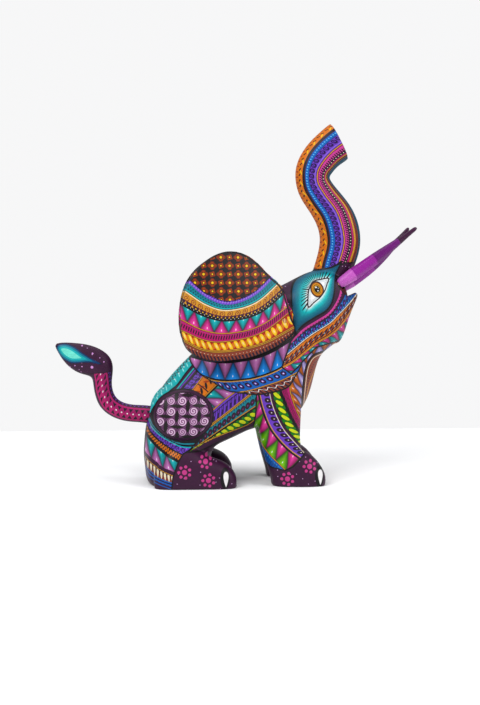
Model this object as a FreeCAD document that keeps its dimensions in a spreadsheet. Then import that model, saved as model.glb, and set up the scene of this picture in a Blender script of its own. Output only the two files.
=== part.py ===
import FreeCAD, Part

import math
import os

# A hand-carved and painted wooden elephant, sitting with its trunk raised.
# +X points forward, out of the face, +Y to the elephant's left, and +Z up. The soles lie on Z = 0.
# One carved block holds the torso, legs, head and trunk. The ears, tail and tusks are carved
# apart, and each one sits on the block with wooden pegs and pulls off along them.

SIZES = [
    # alias, value in millimetres or degrees, what it sets
    ("figure_length", 300.0, "tail tip to tusk tip"),
    ("figure_height", 300.0, "soles to the top of the trunk"),
    ("torso_width", 74.0, "across the torso at its widest"),
    ("head_width", 57.0, "across the cheeks"),
    ("trunk_thickness", 33.6, "trunk from front to back, at its root"),
    ("trunk_width", 27.5, "trunk from side to side, at its root"),
    ("mouth_depth", 9.0, "how far the mouth is hollowed behind the lower lip"),
    ("haunch_bulge", 17.0, "how far each haunch swells out from its own centre"),
    ("hind_stance", 66.0, "between the centres of the hind feet"),
    ("hind_foot_width", 30.0, "across one hind foot"),
    ("front_stance", 50.0, "between the centres of the front feet"),
    ("front_leg_thickness", 34.4, "front leg from front to back"),
    ("front_leg_width", 28.0, "across one front leg"),
    ("front_foot_width", 30.0, "across one front foot"),
    ("tail_thickness", 15.0, "tail stem from top to bottom"),
    ("tail_width", 13.0, "across the tail stem"),
    ("tail_slope", 12.0, "degrees by which the tail's tenon rises outwards"),
    ("tail_seat_radius", 7.5, "round end of the tail's stem, where it meets the rump"),
    ("tail_recess", 2.5, "how deep the tail's end stands in the rump"),
    ("tenon_side", 7.0, "side of the tail's square tenon"),
    ("tenon_in_tail", 12.0, "tenon glued into the tail"),
    ("tenon_in_rump", 14.0, "tenon standing in the rump"),
    ("ear_thickness", 6.5, "wall of an ear"),
    ("ear_dish_radius", 260.0, "radius of an ear's inner, hollow face"),
    ("ear_splay", 14.0, "degrees by which the back of an ear stands out"),
    ("ear_rise", 8.0, "degrees by which an ear's pegs rise outwards"),
    ("ear_root_radius", 10.0, "round pad behind an ear, where it meets the head"),
    ("ear_stand_off", 32.5, "middle of the head to the middle of the ear's seat"),
    ("ear_peg_diameter", 5.0, "ear dowel"),
    ("ear_peg_spacing", 11.0, "between the two dowels of an ear"),
    ("ear_peg_in_ear", 6.0, "ear dowel glued into the ear"),
    ("ear_peg_in_head", 12.0, "ear dowel standing in the head"),
    ("tusk_length", 82.0, "rounded base to tip"),
    ("tusk_diameter", 9.8, "tusk at its thickest"),
    ("right_tusk_bow", 0.6, "how far the tusk's middle sags below a straight line"),
    ("left_tusk_bow", 3.6, "the same for the other tusk, which is bent more"),
    ("tusk_peg_diameter", 4.0, "tusk dowel"),
    ("tusk_peg_in_tusk", 10.0, "tusk dowel glued into the tusk"),
    ("tusk_peg_in_head", 11.0, "tusk dowel standing in the head"),
    ("tusk_spread", 18.0, "middle of the head to the base of a tusk"),
    ("tusk_toe_in", 4.0, "degrees by which the tusks close towards their tips"),
    ("right_tusk_pitch", 35.6, "degrees that the right tusk climbs"),
    ("left_tusk_pitch", 41.3, "degrees that the left tusk climbs"),
    ("socket_clearance", 0.1, "air round a dowel or tenon in its socket, on each side"),
    ("seat_clearance", 0.3, "air round a carved end in its recess"),
    ("socket_spare", 0.5, "air beyond the end of a dowel or tenon"),
]

# The stations below are drawn for a figure of this length and height.
DRAWN_LENGTH = 300.0
DRAWN_HEIGHT = 300.0

SECTION_POINTS = 12  # points round one carved section
ROUND = 2.0  # a section's squareness: 2 is an ellipse
SOFT_SQUARE = 2.5
SQUARE = 3.0

# Each row: x, z, tilt in degrees, half of the section's length as a share of the drawn
# thickness in millimetres, half of its width as a share of the named width.
TORSO = [
    (-47.5, 0.0, 0.0, 25.0, 0.46),
    (-48.6, 6.0, 0.0, 26.6, 0.49),
    (-48.8, 15.0, 0.0, 27.4, 0.50),
    (-48.2, 27.0, 0.0, 28.8, 0.50),
    (-44.6, 37.5, -8.2, 31.5, 0.50),
    (-37.9, 47.5, -17.3, 36.0, 0.50),
    (-27.5, 59.3, -25.3, 39.8, 0.50),
    (-14.0, 69.5, -32.0, 43.5, 0.50),
    (4.0, 80.0, -38.5, 48.0, 0.51),
    (26.5, 102.0, -43.0, 46.7, 0.50),
]
# The head goes on from the torso's last section.
HEAD = [
    (44.0, 128.0, -45.0, 37.0, 0.50),
    (61.0, 139.8, -49.5, 33.0, 0.50),
    (77.0, 154.0, -59.0, 26.0, 0.44),
    (85.0, 161.0, -64.0, 17.5, 0.39),
    (90.5, 163.5, -66.0, 9.0, 0.30),
]
JAW = [
    (58.0, 119.0, -45.0, 19.0, 0.38),
    (70.5, 127.5, -43.5, 17.8, 0.36),
    (80.6, 132.4, -42.0, 14.6, 0.33),
    (89.0, 143.1, -38.0, 9.4, 0.27),
    (94.6, 149.6, -38.0, 6.4, 0.21),
    (98.6, 153.4, -38.0, 4.1, 0.15),
    (101.2, 156.0, -38.0, 2.6, 0.10),
    (103.0, 158.0, -38.0, 1.4, 0.06),
]
# The trunk's sections are shares of trunk_thickness and trunk_width.
TRUNK = [
    (77.0, 158.0, -10.0, 0.78, 0.84),
    (80.5, 170.0, -4.0, 0.90, 0.93),
    (84.5, 183.0, 0.0, 1.01, 0.98),
    (88.6, 202.0, 4.0, 1.02, 0.97),
    (83.4, 223.0, 20.0, 0.97, 0.93),
    (72.3, 238.8, 31.0, 0.88, 0.88),
    (66.2, 249.0, 20.0, 0.85, 0.85),
    (65.6, 259.0, -8.0, 0.88, 0.84),
    (69.4, 267.8, -30.0, 0.91, 0.85),
    (76.2, 276.0, -46.0, 0.93, 0.87),
    (80.6, 279.8, -53.0, 0.95, 0.88),
    (84.2, 282.7, -58.5, 0.97, 0.89),
    (87.4, 285.1, -62.8, 0.98, 0.90),
]
# x, z, tilt, share of front_leg_thickness, share of front_leg_width, share of front_stance.
FRONT_LEG = [
    (36.0, 86.0, 0.0, 0.88, 0.90, 0.84),
    (35.7, 62.6, 0.0, 1.02, 1.00, 0.92),
    (35.3, 46.3, 0.0, 1.00, 1.00, 0.96),
    (36.6, 34.0, 0.0, 0.94, 0.97, 1.00),
    (38.9, 23.4, 0.0, 0.93, 0.95, 1.00),
    (42.0, 11.0, 0.0, 0.90, 0.96, 1.00),
    (43.0, 0.0, 0.0, 0.84, 0.94, 1.00),
]
# Each row of a foot: x, how high its back is there, share of the foot's width.
FRONT_FOOT = [
    (29.0, 8.0, 0.50),
    (35.0, 18.0, 0.86),
    (46.0, 28.0, 1.00),
    (57.0, 27.5, 1.02),
    (65.5, 21.0, 0.97),
    (70.8, 13.5, 0.78),
    (73.0, 8.0, 0.46),
]
HIND_FOOT = [
    (-68.0, 14.0, 0.50),
    (-62.0, 26.0, 0.86),
    (-50.0, 36.0, 1.00),
    (-39.0, 34.5, 1.02),
    (-29.0, 28.5, 1.02),
    (-19.0, 23.8, 1.00),
    (-10.0, 20.0, 0.95),
    (-4.0, 14.5, 0.80),
    (-1.0, 8.0, 0.50),
]
FOOT_AXIS_HEIGHT = 4.0  # the middle of a foot's sections, so that the sole cuts them wide
HAUNCH = (-45.0, 57.0)  # x and z of a haunch's middle
HAUNCH_RADII = (27.0, 26.0)  # along x and z
HAUNCH_STANCE_SHARE = 0.76
MOUTH_CORNER = (93.0, 157.2)  # x and z where the lips meet at the middle of the face
MOUTH_FLOOR_TILT = 19.0
MOUTH_ROOF_TILT = 31.0
MOUTH_WIDTH_SHARE = 0.36

# The tail's root section is round. The rest: x, z, tilt, shares of its thickness and width.
TAIL_ROOT = (-71.0, 56.0)
TAIL = [
    (-74.5, 56.5, 80.0, 1.00, 1.12),
    (-79.5, 57.0, 83.0, 0.98, 1.05),
    (-85.5, 57.4, 84.0, 0.97, 1.00),
    (-92.0, 58.4, 77.0, 0.98, 0.98),
    (-98.0, 60.4, 64.0, 0.99, 0.98),
    (-103.4, 63.8, 50.0, 1.01, 0.98),
    (-107.0, 67.8, 34.0, 1.03, 0.98),
    (-110.2, 76.0, 8.0, 1.02, 0.98),
    (-111.2, 84.5, 4.0, 1.06, 1.00),
    (-112.0, 92.0, 20.0, 1.36, 1.04),
    (-116.4, 97.4, 30.0, 1.80, 1.06),
    (-123.6, 102.4, 37.0, 1.90, 1.02),
    (-132.0, 107.0, 42.0, 1.62, 0.92),
    (-140.4, 110.9, 48.0, 1.06, 0.72),
    (-146.9, 113.9, 56.0, 0.50, 0.44),
    (-149.8, 115.2, 58.0, 0.16, 0.16),
]
# The outline of the right ear seen from its side, clockwise from its lowest point: x and z.
EAR_OUTLINE = [
    (-12.2, 103.7),
    (-31.9, 106.7),
    (-42.1, 114.3),
    (-47.0, 130.8),
    (-46.3, 148.8),
    (-41.0, 167.2),
    (-28.2, 182.8),
    (-8.0, 191.3),
    (9.9, 185.9),
    (24.5, 172.1),
    (34.8, 162.9),
    (39.6, 150.4),
    (43.3, 137.9),
    (46.4, 127.3),
    (30.9, 114.8),
    (8.4, 106.2),
]
EAR_ROOT = (35.5, 140.5)  # x and z of the seat's middle
EAR_APEX = (-7.0, 146.0)  # x and z where the ear stands proudest
EAR_BOSS_DEPTH = 16.0  # how deep the seat's boss runs into the head
# Right and left tusk: x and z of the base's middle. A carver's two tusks are never quite level.
RIGHT_TUSK_BASE = (84.9, 165.3)
LEFT_TUSK_BASE = (88.5, 159.9)
# How far along the tusk, as a share of its length, and how thick it is there.
TUSK = [
    (0.0, 0.50),
    (0.011, 0.70),
    (0.030, 0.85),
    (0.060, 0.94),
    (0.13, 1.00),
    (0.22, 0.98),
    (0.34, 0.95),
    (0.49, 0.88),
    (0.64, 0.72),
    (0.795, 0.52),
    (0.88, 0.41),
    (0.95, 0.35),
    (0.98, 0.30),
    (0.995, 0.20),
    (1.0, 0.10),
]
TUSK_SEAT_SHARE = 0.1  # how far along the tusk its seat in the cheek reaches

doc = FreeCAD.newDocument("elephant")
sheet = doc.addObject("Spreadsheet::Sheet", "sizes")


def fill_sheet():
    """Writes each driving size in the spreadsheet, under its alias."""
    for row, (alias, value, note) in enumerate(SIZES, start=1):
        sheet.set(f"A{row}", alias)
        sheet.set(f"B{row}", str(value))
        sheet.set(f"C{row}", note)
        sheet.setAlias(f"B{row}", alias)
    doc.recompute()


def size(alias):
    """The value of one driving size."""
    return float(sheet.get(alias))


def place(x, z, y=0.0):
    """A drawn station's point, stretched to the figure's length and height."""
    return FreeCAD.Vector(
        x * size("figure_length") / DRAWN_LENGTH,
        y,
        z * size("figure_height") / DRAWN_HEIGHT,
    )


def section(name, centre, tilt, half_length, half_width, squareness):
    """A closed smooth section. Its length lies in the XZ plane, turned up from +X by tilt."""
    points = []
    for step in range(SECTION_POINTS):
        angle = 2 * math.pi * step / SECTION_POINTS
        across, along = math.sin(angle), math.cos(angle)
        points.append(
            FreeCAD.Vector(
                math.copysign(abs(along) ** (2 / squareness), along) * half_length,
                math.copysign(abs(across) ** (2 / squareness), across) * half_width,
                0,
            )
        )
    curve = Part.BSplineCurve()
    # Even parameters give every section the same knots, so a loft runs smoothly through.
    evenly = [step / SECTION_POINTS for step in range(SECTION_POINTS + 1)]
    curve.interpolate(Points=points, PeriodicFlag=True, Parameters=evenly)
    wire = doc.addObject("Part::Feature", name)
    wire.Shape = Part.Wire(curve.toShape())
    wire.Placement = FreeCAD.Placement(
        centre, FreeCAD.Rotation(FreeCAD.Vector(0, 1, 0), -tilt)
    )
    return wire


def loft(name, sections):
    """A solid through the given sections."""
    made = doc.addObject("Part::Loft", name)
    made.Sections = sections
    made.Solid = True
    made.Ruled = False
    return made


def torso_and_head():
    """The seated body, from the rump up through the neck to the face."""
    stretch = size("figure_length") / DRAWN_LENGTH
    sections = []
    for rows, width, squareness in (
        (TORSO, size("torso_width"), SQUARE),
        (HEAD, size("head_width"), SOFT_SQUARE),
    ):
        for x, z, tilt, half, share in rows:
            sections.append(
                section(
                    f"torso_{len(sections)}",
                    place(x, z),
                    tilt,
                    half * stretch,
                    share * width,
                    squareness if len(sections) < 5 else SOFT_SQUARE,
                )
            )
    return loft("torso_and_head", sections)


def jaw():
    """The lower jaw, which rises to a pointed lip."""
    stretch = size("figure_length") / DRAWN_LENGTH
    sections = [
        section(
            f"jaw_{i}",
            place(x, z),
            tilt,
            half * stretch,
            share * size("head_width"),
            ROUND,
        )
        for i, (x, z, tilt, half, share) in enumerate(JAW)
    ]
    return loft("jaw", sections)


def trunk():
    """The raised trunk, an S that ends in a slanting flat face."""
    sections = [
        section(
            f"trunk_{i}",
            place(x, z),
            tilt,
            long_share * size("trunk_thickness") / 2,
            wide_share * size("trunk_width") / 2,
            SOFT_SQUARE,
        )
        for i, (x, z, tilt, long_share, wide_share) in enumerate(TRUNK)
    ]
    return loft("trunk", sections)


def front_leg():
    """The right front leg, from inside the shoulder to the sole."""
    sections = [
        section(
            f"front_leg_{i}",
            place(x, z, -stance * size("front_stance") / 2),
            tilt,
            long_share * size("front_leg_thickness") / 2,
            wide_share * size("front_leg_width") / 2,
            SOFT_SQUARE,
        )
        for i, (x, z, tilt, long_share, wide_share, stance) in enumerate(FRONT_LEG)
    ]
    return loft("front_leg", sections)


def foot(name, rows, stance, width):
    """A right foot, from heel to toe. Its sections stand upright across the foot."""
    sections = []
    for i, (x, top, share) in enumerate(rows):
        centre = place(x, FOOT_AXIS_HEIGHT, -stance / 2)
        half_height = place(0, top).z - centre.z
        sections.append(
            section(
                f"{name}_{i}", centre, 90.0, half_height, share * width / 2, SOFT_SQUARE
            )
        )
    return loft(name, sections)


def haunch():
    """The right haunch, a rounded swelling on the hip."""
    ball = doc.addObject("Part::Ellipsoid", "haunch")
    ball.Angle1, ball.Angle2, ball.Angle3 = -90, 90, 360
    ball.setExpression(
        "Radius2", f"{HAUNCH_RADII[0]} * sizes.figure_length / {DRAWN_LENGTH}"
    )
    ball.setExpression("Radius3", "sizes.haunch_bulge")
    ball.setExpression(
        "Radius1", f"{HAUNCH_RADII[1]} * sizes.figure_height / {DRAWN_HEIGHT}"
    )
    ball.Placement.Base = place(
        *HAUNCH, -HAUNCH_STANCE_SHARE * size("hind_stance") / 2
    )
    return ball


def ear_axis():
    """The way the right ear pulls off: outwards, a little forwards and up."""
    splay, rise = math.radians(size("ear_splay")), math.radians(size("ear_rise"))
    return FreeCAD.Vector(
        math.sin(splay) * math.cos(rise),
        -math.cos(splay) * math.cos(rise),
        math.sin(rise),
    )


def ear_frame():
    """The right ear's own frame: Z along its pegs, X forwards in its plate, Y up."""
    outwards = ear_axis()
    forwards = FreeCAD.Vector(0, 0, 1).cross(outwards).negative().normalize()
    forwards = forwards if forwards.x > 0 else forwards.negative()
    upwards = outwards.cross(forwards)
    return FreeCAD.Placement(
        place(*EAR_ROOT, -size("ear_stand_off")),
        FreeCAD.Rotation(forwards, upwards, outwards, "ZXY"),
    )


def ear_point(x, z):
    """A side-view point as a point of the ear's own plate."""
    forwards, upwards = (
        ear_frame().Rotation.multVec(axis)
        for axis in (FreeCAD.Vector(1, 0, 0), FreeCAD.Vector(0, 1, 0))
    )
    offset = place(x, z) - place(*EAR_ROOT)
    # Seen from the side, the plate's two axes cast these shadows on X and Z.
    spread = forwards.x * upwards.z - upwards.x * forwards.z
    return FreeCAD.Vector(
        (offset.x * upwards.z - offset.z * upwards.x) / spread,
        (offset.z * forwards.x - offset.x * forwards.z) / spread,
        0,
    )


def cylinder(name, radius, height, placement):
    """A cylinder along its own Z, whose radius and height are formulas on the sheet."""
    made = doc.addObject("Part::Cylinder", name)
    made.setExpression("Radius", radius)
    made.setExpression("Height", height)
    made.Placement = placement
    return made


def moved(frame, x=0.0, y=0.0, z=0.0):
    """A frame shifted along its own axes."""
    return frame.multiply(FreeCAD.Placement(FreeCAD.Vector(x, y, z), FreeCAD.Rotation()))


def fused(name, pieces):
    made = doc.addObject("Part::MultiFuse", name)
    made.Shapes = pieces
    made.Refine = False
    return made


def fused_in_turn(name, pieces):
    """Pieces joined one after another, which keeps every step a simple one."""
    joined = pieces[0]
    for step, piece in enumerate(pieces[1:], start=1):
        made = doc.addObject("Part::Fuse", f"{name}_{step}")
        made.Base, made.Tool = joined, piece
        made.Refine = False
        joined = made
    return joined


def cut(name, base, tool):
    made = doc.addObject("Part::Cut", name)
    made.Base, made.Tool = base, tool
    made.Refine = False
    return made


def mirrored(name, source):
    """The left twin of a right piece."""
    made = doc.addObject("Part::Mirroring", name)
    made.Source = source
    made.Normal = FreeCAD.Vector(0, 1, 0)
    return made


def ear_peg_frames():
    """Where the right ear's two dowels start, deep in the head, pointing outwards."""
    half = size("ear_peg_spacing") / 2
    return [
        moved(ear_frame(), y=side * half, z=-size("ear_peg_in_head"))
        for side in (1, -1)
    ]


def ear():
    """The right ear: a dished plate with a round pad behind its root and two peg holes."""
    frame = ear_frame()
    curve = Part.BSplineCurve()
    curve.interpolate([ear_point(x, z) for x, z in EAR_OUTLINE], PeriodicFlag=True)
    outline = doc.addObject("Part::Feature", "ear_outline")
    outline.Shape = Part.Face(Part.Wire(curve.toShape()))
    outline.Placement = frame
    block = doc.addObject("Part::Extrusion", "ear_block")
    block.Base = outline
    block.DirMode = "Custom"
    block.Dir = frame.Rotation.multVec(FreeCAD.Vector(0, 0, 1))
    block.LengthFwd = block.LengthRev = size("ear_dish_radius") / 8
    block.Solid = True

    apex = ear_point(*EAR_APEX)
    apex_drop = (apex.x**2 + apex.y**2) / (2 * size("ear_dish_radius"))
    hollow = doc.addObject("Part::Sphere", "ear_hollow")
    hollow.setExpression("Radius", "sizes.ear_dish_radius")
    skin = doc.addObject("Part::Sphere", "ear_skin")
    skin.setExpression("Radius", "sizes.ear_dish_radius + sizes.ear_thickness")
    for ball in (hollow, skin):
        ball.Placement = moved(
            frame, apex.x, apex.y, apex_drop - size("ear_dish_radius")
        )
    wall = cut("ear_wall", skin, hollow)
    plate = doc.addObject("Part::Common", "ear_plate")
    plate.Base, plate.Tool = block, wall
    pad = cylinder(
        "ear_pad", "sizes.ear_root_radius", "sizes.ear_thickness / 2", frame
    )
    flat = cylinder(
        "ear_seat_flat",
        "sizes.ear_root_radius + 1 + sizes.seat_clearance",
        "sizes.ear_thickness",
        moved(frame, z=-size("ear_thickness")),
    )
    holes = fused(
        "ear_peg_holes",
        [
            cylinder(
                f"ear_hole_{i}",
                "sizes.ear_peg_diameter / 2",
                "sizes.ear_peg_in_head + sizes.ear_peg_in_ear",
                peg,
            )
            for i, peg in enumerate(ear_peg_frames())
        ],
    )
    removed = fused("ear_removed", [flat, holes])
    return cut("right_ear", fused("ear_blank", [plate, pad]), removed)


def ear_pegs():
    """The right ear's two dowels, upper and lower."""
    return [
        cylinder(
            name,
            "sizes.ear_peg_diameter / 2",
            "sizes.ear_peg_in_head + sizes.ear_peg_in_ear",
            peg,
        )
        for name, peg in zip(
            ("right_ear_upper_peg", "right_ear_lower_peg"), ear_peg_frames()
        )
    ]


def ear_sockets():
    """What is bored out of the head for the right ear's dowels."""
    return [
        cylinder(
            f"ear_socket_{i}",
            "sizes.ear_peg_diameter / 2 + sizes.socket_clearance",
            "sizes.ear_peg_in_head + sizes.socket_spare + sizes.ear_peg_in_ear",
            moved(peg, z=-size("socket_spare")),
        )
        for i, peg in enumerate(ear_peg_frames())
    ]


def ear_boss():
    """The flat round seat that stands out of the head for the right ear."""
    return cylinder(
        "ear_boss",
        "sizes.ear_root_radius + 1",
        f"{EAR_BOSS_DEPTH}",
        moved(ear_frame(), z=-EAR_BOSS_DEPTH),
    )


def ear_room():
    """What is cut off the head so that the ear rests on its boss and nowhere else."""
    frame = ear_frame()
    apex = ear_point(*EAR_APEX)
    apex_drop = (apex.x**2 + apex.y**2) / (2 * size("ear_dish_radius"))
    behind = doc.addObject("Part::Sphere", "ear_behind")
    behind.setExpression("Radius", "sizes.ear_dish_radius - sizes.seat_clearance")
    behind.Placement = moved(
        frame, apex.x, apex.y, apex_drop - size("ear_dish_radius")
    )
    shadow = cut("ear_shadow", doc.getObject("ear_block"), behind)
    room = cut("ear_room", shadow, doc.getObject("ear_boss"))
    over_seat = cylinder(
        "ear_over_seat",
        "sizes.ear_root_radius + 1 + sizes.seat_clearance",
        "sizes.ear_dish_radius / 8",
        frame,
    )
    return [room, over_seat]


def tail_frame():
    """The tail's seat: Z points outwards, to the back and a little up."""
    slope = math.radians(size("tail_slope"))
    outwards = FreeCAD.Vector(-math.cos(slope), 0, math.sin(slope))
    sideways = FreeCAD.Vector(0, 1, 0)
    return FreeCAD.Placement(
        place(*TAIL_ROOT),
        FreeCAD.Rotation(sideways, outwards.cross(sideways), outwards, "ZXY"),
    )


def square_bar(name, side, length, placement):
    """A square bar along its own Z, centred on it, whose sizes are formulas on the sheet."""
    made = doc.addObject("Part::Box", name)
    for edge in ("Length", "Width"):
        made.setExpression(edge, side)
    made.setExpression("Height", length)
    made.recompute()
    half = float(made.Length) / 2
    made.Placement = moved(placement, -half, -half)
    return made


def tail():
    """The tail: a bent stem that ends in a flat leaf-shaped tuft."""
    root_frame = tail_frame()
    tilt = 90.0 - size("tail_slope")
    sections = [
        section(
            "tail_0",
            root_frame.Base,
            tilt,
            size("tail_seat_radius"),
            size("tail_seat_radius"),
            ROUND,
        )
    ]
    sections += [
        section(
            f"tail_{i}",
            place(x, z),
            angle,
            long_share * size("tail_thickness") / 2,
            wide_share * size("tail_width") / 2,
            ROUND,
        )
        for i, (x, z, angle, long_share, wide_share) in enumerate(TAIL, start=1)
    ]
    hole = square_bar(
        "tail_hole", "sizes.tenon_side", "sizes.tenon_in_tail", root_frame
    )
    return cut("tail", loft("tail_blank", sections), hole)


def tail_tenon():
    """The square tenon that holds the tail and keeps it upright."""
    return square_bar(
        "tail_tenon",
        "sizes.tenon_side",
        "sizes.tenon_in_tail + sizes.tenon_in_rump",
        moved(tail_frame(), z=-size("tenon_in_rump")),
    )


def tail_socket():
    """What is cut out of the rump: the tail's round recess and the tenon's socket."""
    recess = cylinder(
        "tail_recess",
        "sizes.tail_seat_radius + sizes.seat_clearance",
        "sizes.tail_recess * 6",
        tail_frame(),
    )
    socket = square_bar(
        "tenon_socket",
        "sizes.tenon_side + 2 * sizes.socket_clearance",
        "sizes.tenon_in_rump + sizes.socket_spare + sizes.tail_recess",
        moved(tail_frame(), z=-size("tenon_in_rump") - size("socket_spare")),
    )
    return [recess, socket]


def tusk_frame(side):
    """A tusk's frame: Z along it, from the middle of its rounded base to its tip."""
    base, pitch = (
        (RIGHT_TUSK_BASE, size("right_tusk_pitch"))
        if side < 0
        else (LEFT_TUSK_BASE, size("left_tusk_pitch"))
    )
    pitch, toe_in = math.radians(pitch), math.radians(size("tusk_toe_in"))
    along = FreeCAD.Vector(
        math.cos(pitch) * math.cos(toe_in),
        -side * math.sin(toe_in),
        math.sin(pitch) * math.cos(toe_in),
    )
    sideways = FreeCAD.Vector(0, 1, 0).cross(along).normalize()
    return FreeCAD.Placement(
        place(*base, side * size("tusk_spread")),
        FreeCAD.Rotation(sideways, along.cross(sideways), along, "ZXY"),
    )


def tusk_ring_frame(side, share):
    """A ring's frame, so far along the tusk, on its slightly bowed middle line."""
    which = "right" if side < 0 else "left"
    sag = size(f"{which}_tusk_bow") * math.sin(math.pi * share)
    return moved(tusk_frame(side), x=sag, z=share * size("tusk_length"))


def tusk(name, side):
    """A slender tusk, blunt at both ends and thickest near its base."""
    rings = []
    for i, (share, thick) in enumerate(TUSK):
        ring = doc.addObject("Part::Circle", f"{name}_ring_{i}")
        ring.setExpression("Radius", f"{thick} * sizes.tusk_diameter / 2")
        ring.Placement = tusk_ring_frame(side, share)
        rings.append(ring)
    blank = loft(f"{name}_blank", rings)
    hole = cylinder(
        f"{name}_hole",
        "sizes.tusk_peg_diameter / 2",
        "sizes.tusk_peg_in_tusk + sizes.tusk_peg_in_head",
        moved(tusk_frame(side), z=-size("tusk_peg_in_head")),
    )
    return cut(name, blank, hole)


def tusk_peg(name, side):
    """The dowel between a tusk and the cheek."""
    return cylinder(
        name,
        "sizes.tusk_peg_diameter / 2",
        "sizes.tusk_peg_in_tusk + sizes.tusk_peg_in_head",
        moved(tusk_frame(side), z=-size("tusk_peg_in_head")),
    )


def tusk_socket(name, side):
    """What is cut out of the cheek: a flat-bottomed seat for the base and the dowel's bore."""
    bow = "sizes.right_tusk_bow" if side < 0 else "sizes.left_tusk_bow"
    swing = math.sin(math.pi * TUSK_SEAT_SHARE) / 2
    half_sag = swing * size(bow.replace("sizes.", ""))
    hollow = cylinder(
        f"{name}_hollow",
        f"sizes.tusk_diameter / 2 + sizes.seat_clearance + {swing} * {bow}",
        "sizes.tusk_diameter * 2",
        moved(tusk_frame(side), x=half_sag),
    )
    bore = cylinder(
        f"{name}_bore",
        "sizes.tusk_peg_diameter / 2 + sizes.socket_clearance",
        "sizes.tusk_peg_in_tusk + sizes.tusk_peg_in_head + sizes.socket_spare",
        moved(tusk_frame(side), z=-size("tusk_peg_in_head") - size("socket_spare")),
    )
    return [hollow, bore]


def mouth():
    """The wedge cut back between the upper lip and the pointed lower one."""
    back = place(*MOUTH_CORNER) - FreeCAD.Vector(size("mouth_depth"), 0, 0)
    reach = size("mouth_depth") + size("trunk_thickness")
    floor, roof = (
        back
        + FreeCAD.Vector(reach, 0, reach * math.tan(math.radians(tilt)) + lift)
        for tilt, lift in ((MOUTH_FLOOR_TILT, 0), (MOUTH_ROOF_TILT, 2))
    )
    half_width = MOUTH_WIDTH_SHARE * size("head_width") / 2
    profile = doc.addObject("Part::Polygon", "mouth_profile")
    profile.Nodes = [
        corner - FreeCAD.Vector(0, half_width, 0)
        for corner in (
            back - FreeCAD.Vector(0, 0, 3),
            floor - FreeCAD.Vector(0, 0, 3),
            roof - FreeCAD.Vector(0, 0, 3),
            back - FreeCAD.Vector(0, 0, 1),
        )
    ]
    profile.Close = True
    wedge = doc.addObject("Part::Extrusion", "mouth")
    wedge.Base = profile
    wedge.DirMode = "Custom"
    wedge.Dir = FreeCAD.Vector(0, 1, 0)
    wedge.setExpression("LengthFwd", f"{MOUTH_WIDTH_SHARE} * sizes.head_width")
    wedge.Solid = True
    return wedge


def ground():
    """Everything below the soles."""
    slab = doc.addObject("Part::Box", "ground")
    for edge in ("Length", "Width"):
        slab.setExpression(edge, "sizes.figure_length * 2")
    slab.setExpression("Height", "sizes.figure_height")
    slab.Placement.Base = FreeCAD.Vector(
        -size("figure_length"), -size("figure_length"), -size("figure_height")
    )
    return slab


def body_carving():
    """The carved block: torso, legs, head and trunk, with its seats and sockets."""
    right = [
        front_leg(),
        foot(
            "front_foot", FRONT_FOOT, size("front_stance"), size("front_foot_width")
        ),
        foot("hind_foot", HIND_FOOT, size("hind_stance"), size("hind_foot_width")),
        haunch(),
        ear_boss(),
    ]
    left = [mirrored(f"left_{piece.Name}", piece) for piece in right]
    blank = fused_in_turn(
        "carved_blank", [torso_and_head(), jaw(), trunk(), *right, *left]
    )
    sockets = [*ear_sockets(), *ear_room()]
    sockets += [mirrored(f"left_{piece.Name}", piece) for piece in sockets]
    blank = cut("standing_blank", blank, ground())
    removed = [
        mouth(),
        *sockets,
        *tail_socket(),
        *tusk_socket("right_tusk_socket", -1),
        *tusk_socket("left_tusk_socket", 1),
    ]
    return cut("body_carving", blank, fused("removed_wood", removed))


def subparts():
    """Every separate piece of the figure, with its name."""
    right_ear = ear()
    right_pegs = ear_pegs()
    pieces = {
        "body_carving": body_carving(),
        "right_ear": right_ear,
        "left_ear": mirrored("left_ear", right_ear),
        "tail": tail(),
        "tail_tenon": tail_tenon(),
        "right_tusk": tusk("right_tusk", -1),
        "left_tusk": tusk("left_tusk", 1),
        "right_tusk_peg": tusk_peg("right_tusk_peg", -1),
        "left_tusk_peg": tusk_peg("left_tusk_peg", 1),
    }
    for peg in right_pegs:
        pieces[peg.Name] = peg
        left_name = peg.Name.replace("right", "left")
        pieces[left_name] = mirrored(left_name, peg)
    for name, piece in pieces.items():
        piece.Label = name
    return pieces


def check_and_write(pieces):
    """Stops on any failed object or bad shape, then writes one STEP file for each piece."""
    doc.recompute()
    for item in doc.Objects:
        if "Invalid" in item.State or "Error" in item.State:
            raise RuntimeError(f"{item.Label} failed: {item.State}")
    os.makedirs("parts", exist_ok=True)
    for name, piece in pieces.items():
        shape = piece.Shape
        if shape.isNull() or not shape.isValid() or not shape.Solids:
            raise RuntimeError(f"{name} has no valid solid")
        shape.exportStep(f"parts/{name}.step")
        box = shape.BoundBox
        print(
            f"{name}: {len(shape.Solids)} solid, {shape.Volume / 1000:.1f} cm3, "
            f"x {box.XMin:.1f} {box.XMax:.1f}, y {box.YMin:.1f} {box.YMax:.1f}, "
            f"z {box.ZMin:.1f} {box.ZMax:.1f}"
        )


fill_sheet()
check_and_write(subparts())
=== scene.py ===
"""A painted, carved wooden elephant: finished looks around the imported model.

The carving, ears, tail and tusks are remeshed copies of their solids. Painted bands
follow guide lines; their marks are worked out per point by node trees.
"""
import logging
import math
from dataclasses import dataclass, field
from enum import Enum, auto
from typing import Callable, Optional, Sequence, Union

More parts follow.
